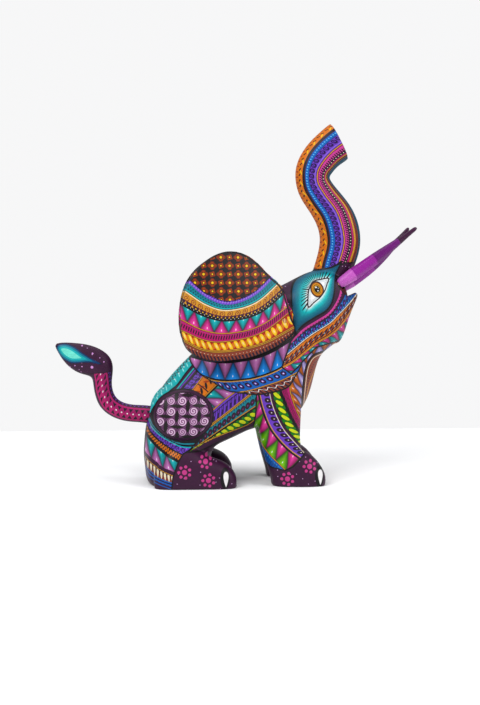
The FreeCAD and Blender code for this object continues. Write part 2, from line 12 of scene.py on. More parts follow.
import bmesh
import bpy
import numpy as np
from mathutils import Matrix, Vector


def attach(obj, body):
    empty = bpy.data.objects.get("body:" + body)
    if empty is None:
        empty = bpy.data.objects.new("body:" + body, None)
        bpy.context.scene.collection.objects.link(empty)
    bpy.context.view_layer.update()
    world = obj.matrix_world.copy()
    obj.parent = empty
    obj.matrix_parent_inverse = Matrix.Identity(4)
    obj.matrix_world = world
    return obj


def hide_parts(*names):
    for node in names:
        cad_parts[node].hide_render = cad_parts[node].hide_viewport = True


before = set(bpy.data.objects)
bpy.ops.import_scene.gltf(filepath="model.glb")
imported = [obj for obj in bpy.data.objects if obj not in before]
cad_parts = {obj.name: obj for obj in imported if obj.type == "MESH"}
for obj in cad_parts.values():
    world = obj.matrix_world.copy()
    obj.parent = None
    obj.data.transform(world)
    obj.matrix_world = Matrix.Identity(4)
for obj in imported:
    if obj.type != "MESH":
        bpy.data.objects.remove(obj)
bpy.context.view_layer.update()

LOG = logging.getLogger("elephant")
MM = 0.001
Point = tuple[float, float]
Colour = tuple[float, float, float, float]


def tint(code: str) -> Colour:
    """Turns a six-digit paint code into a linear colour."""
    parts = [int(code[i:i + 2], 16) / 255 for i in (0, 2, 4)]
    linear = [c / 12.92 if c <= 0.04045 else ((c + 0.055) / 1.055) ** 2.4 for c in parts]
    return (linear[0], linear[1], linear[2], 1.0)


INK, CHARCOAL, PLUM, DEEP_PLUM = tint("18121a"), tint("292024"), tint("4b2246"), tint("381836")
TURQUOISE, TEAL, DEEP_TEAL = tint("14bcc0"), tint("0a8f9e"), tint("07576e")
VIOLET, DARK_VIOLET, LAVENDER = tint("8157c8"), tint("3c1f5c"), tint("a98be0")
LILAC, PINK, HOT_PINK, MAGENTA = tint("a4579c"), tint("d65aa8"), tint("e8458c"), tint("c22a7c")
BLUE, SKY, NAVY = tint("0d6fc0"), tint("7cc8f0"), tint("123a78")
ORANGE, BURNT, RED, COPPER = tint("e0851c"), tint("b8541c"), tint("bc3412"), tint("99533f")
GOLD, YELLOW, CREAM, WHITE = tint("dda84a"), tint("f6cc10"), tint("f6ead0"), tint("fcfafa")
GREEN, LEAF, DARK_GREEN = tint("14861c"), tint("d4e022"), tint("0c4416")


class Field:
    """A number worked out at each point of a surface by a node tree."""

    def __init__(self, tree: bpy.types.NodeTree, socket: bpy.types.NodeSocket) -> None:
        """Wraps one output socket of a tree."""
        self.tree = tree
        self.socket = socket

    def apply(self, operation: str, *others: "Value") -> "Field":
        """Adds one Math node.

        Args:
            operation: the Math node's operation.
            others: the second and third values.

        Returns:
            The node's result.
        """
        node = self.tree.nodes.new("ShaderNodeMath")
        node.operation = operation
        for slot, value in zip(node.inputs, (self, *others)):
            if isinstance(value, Field):
                self.tree.links.new(value.socket, slot)
            else:
                slot.default_value = value
        return Field(self.tree, node.outputs[0])

    def __add__(self, other: "Value") -> "Field":
        """Sum."""
        return self.apply("ADD", other)

    def __sub__(self, other: "Value") -> "Field":
        """Difference."""
        return self.apply("SUBTRACT", other)

    def __rsub__(self, other: float) -> "Field":
        """Difference from a plain number."""
        return self.apply("MULTIPLY_ADD", -1.0, other)

    def __mul__(self, other: "Value") -> "Field":
        """Product."""
        return self.apply("MULTIPLY", other)

    def __truediv__(self, other: "Value") -> "Field":
        """Quotient."""
        return self.apply("DIVIDE", other)

    def __abs__(self) -> "Field":
        """Size without its sign."""
        return self.apply("ABSOLUTE")

    def fraction(self) -> "Field":
        """What is left above the whole number below."""
        return self.apply("FRACT")

    def least(self, other: "Value") -> "Field":
        """The smaller of two."""
        return self.apply("MINIMUM", other)

    def most(self, other: "Value") -> "Field":
        """The larger of two."""
        return self.apply("MAXIMUM", other)

    def span(self, other: "Field") -> "Field":
        """Length of the arrow with these two sides."""
        return (self * self + other * other).apply("SQRT")

    def angle(self, across: "Field") -> "Field":
        """Angle of (across, self) about its origin, in radians."""
        return self.apply("ARCTAN2", across)

    def mask(self, soft: float = 0.12) -> "Field":
        """A paint edge: 0 below nought, 1 above it, over a narrow blur."""
        node = self.tree.nodes.new("ShaderNodeMapRange")
        node.inputs["From Min"].default_value = -soft * 0.5
        node.inputs["From Max"].default_value = soft
        self.tree.links.new(self.socket, node.inputs["Value"])
        return Field(self.tree, node.outputs["Result"])


Value = Union[Field, float]
Shade = Union[bpy.types.NodeSocket, Colour]


class Shape(Enum):
    """The painter's marks."""

    LINE = auto()
    TOP = auto()
    FOOT = auto()
    DOTS = auto()
    BLOCKS = auto()
    SAW_DOWN = auto()
    SAW_UP = auto()
    LEAVES = auto()
    WAVE = auto()
    ZIGZAG = auto()
    SPIRALS = auto()
    PETALS = auto()
    DROPS = auto()
    SCALLOPS = auto()


@dataclass(frozen=True)
class Mark:
    """One repeated mark or line along a band; lengths are in millimetres."""

    shape: Shape
    colour: Colour
    size: float = 0.5
    pitch: float = 5.0
    at: float = 0.5
    tall: float = 0.0
    shift: float = 0.0
    slant: float = 0.0
    rim: float = 0.0
    rim_colour: Colour = INK
    heart: Optional[Colour] = None
    inset: float = 0.5
    soft: float = 0.12
    every: int = 1
    lattice: float = 0.0


@dataclass(frozen=True)
class Band:
    """A painted stripe: its ground colour and the marks on it, lowest first."""

    ground: Colour
    marks: tuple[Mark, ...] = ()


class Guide:
    """A smooth line through a few chosen points in the side view, run on at both ends."""

    RUN_ON = 90.0
    STEPS = 7

    def __init__(self, points: Sequence[Point]) -> None:
        """Makes the line.

        Args:
            points: (x, z) in millimetres, in the order of travel.
        """
        p = np.array(points, float)
        head = p[0] + (p[0] - p[1]) / np.linalg.norm(p[0] - p[1]) * self.RUN_ON
        tail = p[-1] + (p[-1] - p[-2]) / np.linalg.norm(p[-1] - p[-2]) * self.RUN_ON
        self.line = np.vstack([head, curve_through(p, self.STEPS, closed=False), tail])
        lengths = np.linalg.norm(np.diff(self.line, axis=0), axis=1)
        self.runs = np.concatenate([[0], np.cumsum(lengths)]) - self.RUN_ON

    def measure(self, points: np.ndarray) -> tuple[np.ndarray, np.ndarray]:
        """Measures points against the line.

        Args:
            points: n rows of (x, z).

        Returns:
            The distance, positive to the right of travel, and the run along the line.
        """
        best = np.full(len(points), 1e9)
        side, run = np.zeros(len(points)), np.zeros(len(points))
        for i in range(len(self.line) - 1):
            a, step = self.line[i], self.line[i + 1] - self.line[i]
            reach = float(step @ step)
            if reach < 1e-12:
                continue
            off = points - a
            share = np.clip(off @ step / reach, 0, 1)
            gap = np.linalg.norm(off - share[:, None] * step, axis=1)
            near = gap < best
            best[near] = gap[near]
            turn = off[:, 1] * step[0] - off[:, 0] * step[1]
            side[near] = np.where(turn[near] > 0, -1.0, 1.0)
            run[near] = self.runs[i] + share[near] * math.sqrt(reach)
        return best * side, run


class Outline:
    """A closed, smooth outline in the side view."""

    def __init__(self, points: Sequence[Point], steps: int = 6) -> None:
        """Makes the outline.

        Args:
            points: (x, z) in millimetres, round the outline.
            steps: curve steps between two points, or 1 for straight sides.
        """
        self.line = curve_through(np.array(points, float), steps, closed=True)

    def contains(self, points: np.ndarray) -> np.ndarray:
        """Tells which points lie inside."""
        inside = np.zeros(len(points), bool)
        x, z = points[:, 0], points[:, 1]
        ends = np.roll(self.line, -1, axis=0)
        for (ax, az), (bx, bz) in zip(self.line, ends):
            if az == bz:
                continue
            crosses = (az > z) != (bz > z)
            inside ^= crosses & (x < ax + (z - az) / (bz - az) * (bx - ax))
        return inside

    def distance(self, points: np.ndarray, far: float = 1e3) -> np.ndarray:
        """Distance of each point to the outline, or `far` where it is well away.

        Args:
            points: n rows of (x, z).
            far: the value given to points outside the outline's box by over 30 mm.
        """
        low, high = self.line.min(0) - 30, self.line.max(0) + 30
        near = np.all((points > low) & (points < high), axis=1)
        found = np.full(len(points), far)
        p = points[near]
        best = np.full(len(p), far)
        for a, b in zip(self.line, np.roll(self.line, -1, axis=0)):
            step = b - a
            reach = float(step @ step)
            if reach < 1e-12:
                continue
            share = np.clip((p - a) @ step / reach, 0, 1)
            best = np.minimum(best, np.linalg.norm(p - a - share[:, None] * step, axis=1))
        found[near] = best
        return found


def curve_through(points: np.ndarray, steps: int, closed: bool) -> np.ndarray:
    """Runs a Catmull-Rom curve through points.

    Args:
        points: n rows of (x, z).
        steps: how many pieces each stretch has.
        closed: whether the curve returns to its start.

    Returns:
        The curve's own points.
    """
    n = len(points)
    spans = n if closed else n - 1
    made = []
    for i in range(spans):
        if closed:
            p0, p1, p2, p3 = (points[(i + k) % n] for k in (-1, 0, 1, 2))
        else:
            p1, p2 = points[i], points[i + 1]
            p0 = points[i - 1] if i else 2 * p1 - p2
            p3 = points[i + 2] if i + 2 < n else 2 * p2 - p1
        for s in range(steps):
            t = s / steps
            made.append(0.5 * (2 * p1 + (p2 - p0) * t + (2 * p0 - 5 * p1 + 4 * p2 - p3) * t ** 2
                               + (3 * p1 - p0 - 3 * p2 + p3) * t ** 3))
    if not closed:
        made.append(points[-1])
    return np.array(made)


@dataclass(frozen=True)
class Varnish:
    """The satin varnish over the paint."""

    roughness: float = 0.44
    gloss: float = 0.2
    coat: float = 0.03
    coat_roughness: float = 0.3
    relief: float = 0.00022
    saturation: float = 1.06
    depth: float = 1.2

    def surface(self, brush: "Brush", colour: Shade, raised: Optional[Field] = None) -> None:
        """Puts the varnished shader at the end of a brush's tree.

        Args:
            brush: the brush that has painted the colour.
            colour: the paint.
            raised: paint thickness, 0 to 1, that stands proud of the wood.
        """
        tree = brush.tree
        shader = tree.nodes.new("ShaderNodeBsdfPrincipled")
        out = tree.nodes.new("ShaderNodeOutputMaterial")
        tree.links.new(shader.outputs["BSDF"], out.inputs["Surface"])
        shader.inputs["Specular IOR Level"].default_value = self.gloss
        shader.inputs["Coat Weight"].default_value = self.coat
        shader.inputs["Coat Roughness"].default_value = self.coat_roughness
        streaks = brush.noise(scale=420.0, detail=4.0)
        broad = brush.noise(scale=38.0, detail=2.0)
        rough = streaks * 0.12 + broad * 0.08 + (self.roughness - 0.1)
        tree.links.new(rough.socket, shader.inputs["Roughness"])
        value = tree.nodes.new("ShaderNodeHueSaturation")
        tree.links.new((streaks * 0.24 + broad * 0.16 + 0.54).socket, value.inputs["Value"])
        value.inputs["Saturation"].default_value = self.saturation
        brush.plug(colour, value.inputs["Color"])
        deepen = tree.nodes.new("ShaderNodeGamma")
        deepen.inputs["Gamma"].default_value = self.depth
        tree.links.new(value.outputs["Color"], deepen.inputs["Color"])
        tree.links.new(deepen.outputs["Color"], shader.inputs["Base Color"])
        height = streaks * 0.35 + broad * 0.5
        if raised is not None:
            height = height + raised
        bump = tree.nodes.new("ShaderNodeBump")
        bump.inputs["Strength"].default_value = 0.55
        bump.inputs["Distance"].default_value = self.relief
        tree.links.new(height.socket, bump.inputs["Height"])
        tree.links.new(bump.outputs["Normal"], shader.inputs["Normal"])


class Brush:
    """Paints marks into one material's node tree."""

    def __init__(self, name: str) -> None:
        """Starts a material.

        Args:
            name: the material's name.
        """
        self.material = bpy.data.materials.new(name)
        self.material.use_nodes = True
        self.tree = self.material.node_tree
        self.tree.nodes.clear()
        place = self.tree.nodes.new("ShaderNodeTexCoord").outputs["Object"]
        self.place = place
        scaled = self.tree.nodes.new("ShaderNodeVectorMath")
        scaled.operation = "SCALE"
        scaled.inputs["Scale"].default_value = 1000.0
        self.tree.links.new(place, scaled.inputs[0])
        split = self.tree.nodes.new("ShaderNodeSeparateXYZ")
        self.tree.links.new(scaled.outputs[0], split.inputs[0])
        self.x, self.y, self.z = (Field(self.tree, s) for s in split.outputs)
        self.along, self.level, self.width = self.read_three("paint")
        self.edge = Field(self.tree, self.attribute("edge").outputs["Fac"])
        self.share = self.level.fraction()

    def attribute(self, name: str) -> bpy.types.Node:
        """Reads an attribute of the mesh."""
        node = self.tree.nodes.new("ShaderNodeAttribute")
        node.attribute_name = name
        return node

    def read_three(self, name: str) -> tuple[Field, Field, Field]:
        """Reads a vector attribute as three numbers."""
        split = self.tree.nodes.new("ShaderNodeSeparateXYZ")
        self.tree.links.new(self.attribute(name).outputs["Vector"], split.inputs[0])
        return tuple(Field(self.tree, s) for s in split.outputs)

    def noise(self, scale: float, detail: float) -> Field:
        """Adds brush noise, 0 to 1, in the carving's own space."""
        node = self.tree.nodes.new("ShaderNodeTexNoise")
        node.inputs["Scale"].default_value = scale
        node.inputs["Detail"].default_value = detail
        self.tree.links.new(self.place, node.inputs["Vector"])
        return Field(self.tree, node.outputs["Fac"])

    def plug(self, colour: Shade, slot: bpy.types.NodeSocket) -> None:
        """Gives a slot a colour, or the socket that makes one."""
        if isinstance(colour, tuple):
            slot.default_value = colour
        else:
            self.tree.links.new(colour, slot)

    def over(self, below: Shade, above: Shade, mask: Field) -> Shade:
        """Lays one colour over another.

        Args:
            below: the colour that shows where the mask is 0.
            above: the colour that shows where it is 1.
            mask: the share of the upper colour.

        Returns:
            The mixed colour.
        """
        node = self.tree.nodes.new("ShaderNodeMix")
        node.data_type = "RGBA"
        self.tree.links.new(mask.socket, node.inputs[0])
        self.plug(below, node.inputs[6])
        self.plug(above, node.inputs[7])
        return node.outputs[2]

    def cell(self, mark: Mark) -> tuple[Field, Field]:
        """Places a mark's own cell: millimetres along and across from its middle."""
        if mark.lattice:
            row = self.z / mark.lattice
            stagger = (row.apply("FLOOR") * 0.5).fraction() * mark.pitch
            across = (row.fraction() - 0.5) * mark.lattice
            along = ((self.x + stagger + mark.shift * mark.pitch) / mark.pitch).fraction() - 0.5
            return along * mark.pitch, across
        turns = self.along / mark.pitch
        if mark.shift:
            turns = turns + mark.shift
        return (turns.fraction() - 0.5) * mark.pitch, (self.share - mark.at) * self.width

    def depth(self, mark: Mark) -> Field:
        """How far inside a mark each point is, in millimetres.

        Args:
            mark: the mark.

        Returns:
            A number above nought inside the mark.
        """
        if mark.shape is Shape.LINE:
            return mark.size - abs((self.share - mark.at) * self.width)
        if mark.shape is Shape.TOP:
            return mark.size - abs(self.share * self.width - mark.at)
        if mark.shape is Shape.FOOT:
            return mark.size - abs((1.0 - self.share) * self.width - mark.at)
        along, across = self.cell(mark)
        tall = mark.tall or mark.size
        if mark.slant:
            turn, lean = math.cos(mark.slant), math.sin(mark.slant)
            along, across = along * turn + across * lean, across * turn - along * lean
        if mark.shape in (Shape.DOTS, Shape.LEAVES):
            return mark.size - along.span(across * (mark.size / tall))
        if mark.shape is Shape.BLOCKS:
            return (mark.size - abs(along)).least(tall - abs(across))
        if mark.shape is Shape.SAW_DOWN:
            return ((1.0 - self.share) * (mark.pitch * 0.5) - abs(along) - 0.55) * 0.85
        if mark.shape is Shape.SAW_UP:
            return (self.share * (mark.pitch * 0.5) - abs(along) - 0.55) * 0.85
        if mark.shape is Shape.WAVE:
            swing = (self.along * (2 * math.pi / mark.pitch)).apply("SINE") * tall
            return mark.size - abs(across - swing)
        if mark.shape is Shape.ZIGZAG:
            swing = (abs(along) * (4 / mark.pitch) - 1.0) * tall
            return mark.size - abs(across - swing)
        if mark.shape is Shape.SCALLOPS:
            return (mark.size - along.span(across)).least(across)
        if mark.shape is Shape.DROPS:
            lean_in = 1.0 - across * (0.55 / tall)
            return mark.size - (along / lean_in.most(0.2)).span(across * (mark.size / tall))
        reach = along.span(across)
        round_angle = across.angle(along)
        if mark.shape is Shape.PETALS:
            return ((round_angle * 4.0).apply("COSINE") * 0.15 + 0.85) * mark.size - reach
        arm = ((reach / tall) + round_angle / (2 * math.pi)).fraction() - 0.5
        return (tall * 0.26 - abs(arm) * tall).least(mark.size - reach)

    def stroke(self, below: Shade, mark: Mark) -> Shade:
        """Paints one mark, with its rim below it and its heart on it."""
        depth = self.depth(mark)
        if mark.rim:
            below = self.over(below, mark.rim_colour, (depth + mark.rim).mask())
        below = self.over(below, mark.colour, depth.mask())
        if mark.heart:
            below = self.over(below, mark.heart, (depth - mark.inset).mask(mark.soft))
        return below

    def bands(self, bands: Sequence[Band]) -> Shade:
        """Paints all bands of a field, one below the other."""
        colour: Shade = bands[0].ground
        for index, band in enumerate(bands):
            own: Shade = band.ground
            for mark in band.marks:
                own = self.stroke(own, mark)
            colour = own if index == 0 else self.over(colour, own, (self.level - float(index)).mask(0.002))
        return colour

    def outlined(self, colour: Shade, width: float, ink: Colour = INK) -> Shade:
        """Draws the field's dark outline."""
        return self.over(colour, ink, (width - self.edge).mask(0.2))


def edge_lines(top: Colour = GOLD, foot: Optional[Colour] = None, size: float = 0.32) -> tuple[Mark, ...]:
    """A painted line with a dark one beside it along a band's top, and one along its foot.

    Args:
        top: the colour along the top.
        foot: the colour along the foot, if there is one.
        size: half the line's width.
    """
    marks = [Mark(Shape.TOP, INK, size=0.95, at=0.3), Mark(Shape.TOP, top, size=size, at=0.55)]
    if foot:
        marks += [Mark(Shape.FOOT, INK, size=0.8, at=0.3), Mark(Shape.FOOT, foot, size=size, at=0.5)]
    return tuple(marks)


def saws(ground: Colour, down: Colour, down_light: Colour, up: Colour, up_light: Colour,
         pitch: float) -> Band:
    """A band of two rows of triangles, points down and points up, with pale middles."""
    down, up = (tuple(c * 0.45 for c in paint[:3]) + (1.0,) for paint in (down, up))
    return Band(ground, (
        Mark(Shape.SAW_DOWN, down, pitch=pitch, heart=down_light, inset=0.5, soft=2.8),
        Mark(Shape.SAW_UP, up, pitch=pitch, shift=0.5, heart=up_light, inset=0.5, soft=2.8),
        Mark(Shape.DOTS, WHITE, size=0.3, pitch=pitch, at=0.14, tall=0.9),
        Mark(Shape.DOTS, WHITE, size=0.3, pitch=pitch, at=0.82, shift=0.5, tall=0.9),
    ) + edge_lines(INK))


EAR_GUIDES = (
    ((-49, 182), (-8, 205), (44, 190)),
    ((-39, 169), (-24, 157), (-7.5, 152), (12, 159), (29, 174.5)),
    ((-43, 160.5), (-26, 149.5), (-9, 145), (14, 151), (35.5, 168.5)),
    ((-45.5, 150), (-27, 140.5), (-8, 137), (17, 143), (41.5, 162)),
    ((-46.5, 138.5), (-28, 129.5), (-8, 127), (18, 133), (45.5, 151.5)),
    ((-46.5, 130), (-28, 122), (-10.5, 120.5), (18, 127), (45, 145.5)),
    ((-45, 121.5), (-28, 113.5), (-8, 112.5), (20, 118), (50.5, 133)),
    ((-40, 107), (-24, 101), (-5, 100), (22, 106), (55, 124.5)),
)
EAR_BANDS = (
    Band(CHARCOAL, (
        Mark(Shape.PETALS, tint("8e3c14"), size=3.9, pitch=14.0, lattice=6.8, heart=tint("c8662a"), inset=1.5,
             soft=2.0),
        Mark(Shape.DOTS, tint("5a2410"), size=1.7, pitch=14.0, lattice=6.8, heart=YELLOW, inset=0.6,
             soft=0.3),
        Mark(Shape.BLOCKS, tint("8e3c14"), size=2.1, tall=2.0, pitch=14.0, lattice=6.8, shift=0.5,
             heart=tint("c8662a"), inset=0.6, soft=1.2, slant=0.3),
        Mark(Shape.DOTS, tint("5a2410"), size=1.2, pitch=14.0, lattice=6.8, shift=0.5, heart=YELLOW,
             inset=0.5),
    )),
    Band(TEAL, (
        Mark(Shape.TOP, VIOLET, size=1.5, at=1.4), Mark(Shape.TOP, INK, size=0.5, at=0.2),
        Mark(Shape.DOTS, LAVENDER, size=0.75, pitch=2.2, at=0.2),
        Mark(Shape.BLOCKS, DEEP_TEAL, size=0.55, tall=0.65, pitch=2.4, at=0.5),
        Mark(Shape.BLOCKS, DEEP_TEAL, size=0.55, tall=0.65, pitch=2.4, at=0.73, shift=0.5),
        Mark(Shape.FOOT, TURQUOISE, size=0.5, at=0.9), Mark(Shape.FOOT, INK, size=0.35, at=0.2),
    )),
    Band(GOLD, (
        Mark(Shape.TOP, CREAM, size=0.4, at=0.5),
        Mark(Shape.SCALLOPS, PLUM, size=3.0, pitch=6.2, at=0.60, shift=0.5),
        Mark(Shape.SPIRALS, COPPER, size=2.6, tall=1.5, pitch=6.2, at=0.42),
        Mark(Shape.DOTS, YELLOW, size=0.55, pitch=6.2, at=0.8, shift=0.5),
        Mark(Shape.FOOT, INK, size=0.9, at=0.4), Mark(Shape.DOTS, WHITE, size=0.3, pitch=3.1, at=0.95),
    )),
    saws(INK, TEAL, tint("38c8cc"), MAGENTA, tint("ee62b4"), 11.6),
    Band(MAGENTA, (
        Mark(Shape.BLOCKS, DEEP_PLUM, size=0.5, tall=1.7, pitch=2.1, at=0.6, slant=0.35),
        Mark(Shape.DOTS, LILAC, size=0.4, pitch=2.1, at=0.3, shift=0.5),
    ) + edge_lines(GOLD)),
    Band(RED, (
        Mark(Shape.LEAVES, ORANGE, size=1.5, tall=3.8, pitch=5.4, at=0.55, slant=0.5, shift=0.5),
        Mark(Shape.LEAVES, YELLOW, size=1.55, tall=4.0, pitch=5.4, at=0.5, slant=-0.35, rim=0.3,
             rim_colour=BURNT,
             heart=CREAM, inset=1.0, soft=0.8),
    ) + edge_lines(GOLD, GOLD)),
    Band(COPPER, (
        Mark(Shape.BLOCKS, DEEP_PLUM, size=0.85, tall=1.9, pitch=2.9, at=0.5),
        Mark(Shape.BLOCKS, DEEP_PLUM, size=3.0, tall=0.35, pitch=5.8, at=0.66),
        Mark(Shape.DOTS, CREAM, size=0.3, pitch=2.9, at=0.25, shift=0.5),
    ) + edge_lines(GOLD, GOLD)),
    Band(INK, (Mark(Shape.TOP, GOLD, size=0.4, at=0.9),)),
)
COLLAR_GUIDES = (
    ((-28.7, 104.5), (-19.9, 103), (-7, 102.6), (10.8, 105.2), (23.9, 109.2), (34.8, 114.8), (45, 121),
     (51.9, 126.5)),
    ((-28.8, 92), (-20.8, 89.4), (-11.1, 88.2), (0.3, 88.7), (13, 90.5), (28.6, 95.4), (43.9, 103.7),
     (55.7, 111.5)),
    ((-19.6, 84), (-9.5, 79.3), (-3, 78.1), (10, 80), (23.9, 84.2), (36, 88), (49.3, 94.2)),
    ((-12, 74), (10, 75.5), (20, 76), (34.7, 78.4), (42.3, 81.9), (47.5, 87.5)),
)
COLLAR_BANDS = (
    saws(INK, LILAC, tint("d690cc"), BLUE, tint("3aa0ec"), 12.6),
    Band(BLUE, (
        Mark(Shape.DOTS, DEEP_PLUM, size=2.0, pitch=6.0, at=0.6, rim=0.3, heart=VIOLET, inset=0.9),
        Mark(Shape.DOTS, WHITE, size=0.5, pitch=6.0, at=0.6),
        Mark(Shape.BLOCKS, NAVY, size=0.4, tall=0.9, pitch=3.0, at=0.3),
        Mark(Shape.TOP, INK, size=0.9, at=0.5), Mark(Shape.TOP, GOLD, size=0.4, at=1.7),
    )),
    Band(COPPER, (
        Mark(Shape.BLOCKS, DEEP_PLUM, size=0.9, tall=3.4, pitch=3.6, at=0.6),
        Mark(Shape.WAVE, WHITE, size=0.24, pitch=7.5, at=0.45, tall=0.9),
    ) + edge_lines(GOLD)),
    Band(DEEP_PLUM),
)
TORSO_GUIDES = (
    ((-92, 11), (-92, 40), (-80, 68), (-60, 92), (-42, 112)),
    ((-74.5, 11), (-75.3, 20.3), (-74.8, 40.7), (-73.9, 48.7), (-71.7, 57.8), (-68.8, 65.6), (-62.2, 73.1),
     (-54.9, 79.4), (-49.1, 83.9), (-42.5, 92.7), (-36.3, 100)),
    ((-60, 62), (-45.1, 81.1), (-38.6, 88.2), (-32, 96.3)),
    ((-50, 64), (-34.6, 83.2), (-28, 91.7)),
    ((-42, 58), (-24.1, 76.4), (-16.8, 83.7)),
    ((-30, 55), (-18, 65.9), (-11.1, 72), (-3, 78.1)),
    ((-32, 43), (-16, 55.2), (-1.3, 66.6), (10.8, 76.4)),
    ((-32, 34), (-15.9, 45.2), (-2.8, 54), (15.1, 66)),
    ((-34, 33), (-24.1, 37.8), (-10, 42.9), (7.5, 49.1), (16.2, 55.6)),
)
TORSO_BANDS = (
    Band(TURQUOISE, (
        Mark(Shape.ZIGZAG, INK, size=0.42, pitch=3.6, at=0.60, tall=0.9),
        Mark(Shape.BLOCKS, INK, size=0.5, tall=0.5, pitch=7.2, at=0.52),
        Mark(Shape.LEAVES, tint("a8f0ee"), size=0.35, tall=2.2, pitch=5.2, at=0.80, slant=0.9),
        Mark(Shape.DOTS, WHITE, size=0.45, pitch=6.4, at=0.72),
        Mark(Shape.DOTS, WHITE, size=0.45, pitch=8.0, at=0.4),
    )),
    Band(PLUM, (
        Mark(Shape.TOP, INK, size=0.8, at=0.2), Mark(Shape.LINE, TURQUOISE, size=0.5, at=0.5),
        Mark(Shape.LINE, VIOLET, size=0.4, at=0.78),
    )),
    Band(VIOLET, (
        Mark(Shape.SPIRALS, DARK_VIOLET, size=2.6, tall=1.7, pitch=5.2, at=0.45),
        Mark(Shape.DOTS, DARK_VIOLET, size=1.5, pitch=5.2, at=0.85, shift=0.5),
    ) + edge_lines(INK)),
    Band(ORANGE, (
        Mark(Shape.LEAVES, CHARCOAL, size=1.0, tall=3.0, pitch=5.4, at=0.55, slant=0.7),
        Mark(Shape.LEAVES, BURNT, size=0.9, tall=2.4, pitch=5.4, at=0.4, slant=-0.8, shift=0.5),
        Mark(Shape.BLOCKS, CHARCOAL, size=0.5, tall=6.0, pitch=10.8),
    ) + edge_lines(GOLD, GOLD)),
    saws(INK, TEAL, tint("38c8cc"), LILAC, tint("d690cc"), 10.5),
    Band(VIOLET, (
        Mark(Shape.BLOCKS, DARK_VIOLET, size=1.0, tall=2.9, pitch=4.4, at=0.55, rim=0.25),
        Mark(Shape.BLOCKS, VIOLET, size=0.5, tall=1.2, pitch=4.4, at=0.42),
        Mark(Shape.BLOCKS, DARK_VIOLET, size=2.2, tall=0.4, pitch=4.4, at=0.3),
    ) + edge_lines(GOLD, GOLD)),
    Band(TEAL, (
        Mark(Shape.DOTS, DEEP_PLUM, size=1.9, pitch=4.7, at=0.58, rim=0.45, heart=PLUM, inset=0.5),
        Mark(Shape.DOTS, LILAC, size=0.45, pitch=4.7, at=0.58),
        Mark(Shape.BLOCKS, DEEP_TEAL, size=0.5, tall=0.7, pitch=2.35, at=0.2),
    ) + edge_lines(GOLD, GOLD)),
    Band(DARK_GREEN, (
        Mark(Shape.LEAVES, GREEN, size=1.8, tall=4.5, pitch=5.6, at=0.5, slant=-0.5, shift=0.5),
        Mark(Shape.LEAVES, LEAF, size=1.35, tall=3.6, pitch=5.6, at=0.5, slant=-0.9, rim=0.25,
             rim_colour=INK),
    ) + edge_lines(INK, GOLD)),
    Band(PLUM),
)
RUMP_GUIDES = (
    ((-73, 64), (-69.5, 53), (-63.5, 45.5), (-55.5, 39.5), (-44.5, 37.2), (-32, 38.5)),
    ((-72.5, 56), (-69, 49.8), (-63.3, 44.2), (-56.4, 39.8), (-46.9, 35.4), (-35.6, 33.9)),
    ((-73.3, 49), (-68.9, 43.7), (-58.3, 35.2), (-44.6, 28.6)),
    ((-74.4, 42.5), (-68.9, 37.2), (-60.8, 29.9), (-48.7, 23.3)),
    ((-74.6, 27), (-68.1, 22.3), (-60.8, 18), (-50.7, 14.2)),
    ((-74.5, 23.5), (-68.1, 19), (-60.8, 15.6), (-52, 11.8)),
    ((-74.5, 15.5), (-69, 11.8), (-62.4, 8.9), (-53.2, 5.9)),
    ((-74, 12.5), (-69, 8.4), (-54.4, 3.2)),
)
RUMP_BANDS = (
    Band(INK, (Mark(Shape.LINE, TEAL, size=0.6, at=0.5),)),
    Band(VIOLET, (
        Mark(Shape.SPIRALS, DARK_VIOLET, size=2.4, tall=1.6, pitch=4.8, at=0.56),
        Mark(Shape.DOTS, LAVENDER, size=0.5, pitch=4.8, at=0.3, shift=0.5),
        Mark(Shape.TOP, INK, size=0.4, at=0.2), Mark(Shape.TOP, TURQUOISE, size=0.45, at=1.0),
    )),
    Band(ORANGE, (
        Mark(Shape.BLOCKS, CHARCOAL, size=0.55, tall=0.6, pitch=2.3, at=0.3),
        Mark(Shape.BLOCKS, CHARCOAL, size=0.55, tall=0.6, pitch=2.3, at=0.54, shift=0.5),
        Mark(Shape.BLOCKS, CHARCOAL, size=0.55, tall=0.6, pitch=2.3, at=0.78),
    ) + edge_lines(INK, INK)),
    saws(INK, TEAL, tint("38c8cc"), LILAC, tint("d690cc"), 11.0),
    Band(PLUM),
    Band(COPPER, (
        Mark(Shape.DROPS, CREAM, size=0.9, tall=3.0, pitch=3.2, at=0.55, rim=0.4, rim_colour=DEEP_PLUM),
    ) + edge_lines(GOLD)),
    Band(BLUE, (Mark(Shape.LINE, DEEP_PLUM, size=0.5, at=0.5),)),
    Band(PLUM, (Mark(Shape.TOP, BLUE, size=0.4, at=2.2),)),
)
LEG_GUIDES = (
    ((97, 113), (84, 103), (74, 98), (67, 91), (62.5, 80), (61, 66), (61.5, 52)),
    ((84, 110), (71.8, 109), (63.7, 106.4), (59.1, 101.1), (56.5, 93.6), (55.2, 83.3), (54.7, 69),
     (56.7, 54.5)),
    ((84, 117.5), (70.8, 116.5), (60, 113.5), (53.5, 107), (49, 97), (45.5, 88), (43.5, 80), (46, 70.3),
     (50, 60.4),
     (56.4, 49.2)),
    ((34.5, 86), (35.4, 77.9), (38.3, 70.5), (42.1, 60.8), (49.2, 47.7), (56, 38.3)),
    ((27, 84), (27.9, 75.8), (30.2, 66.7), (33.9, 57.1), (39.8, 46.7), (52.7, 32)),
    ((16.5, 84), (17.5, 75.9), (20.7, 63.7), (26.5, 48.9), (34.5, 37.9), (42.8, 29.6), (51.2, 23.3)),
    ((8, 70), (12, 55), (17.5, 41), (25.5, 28.2), (39.5, 14.2)),
    ((4, 42), (14, 28), (24, 15.5), (35, 6)),
)
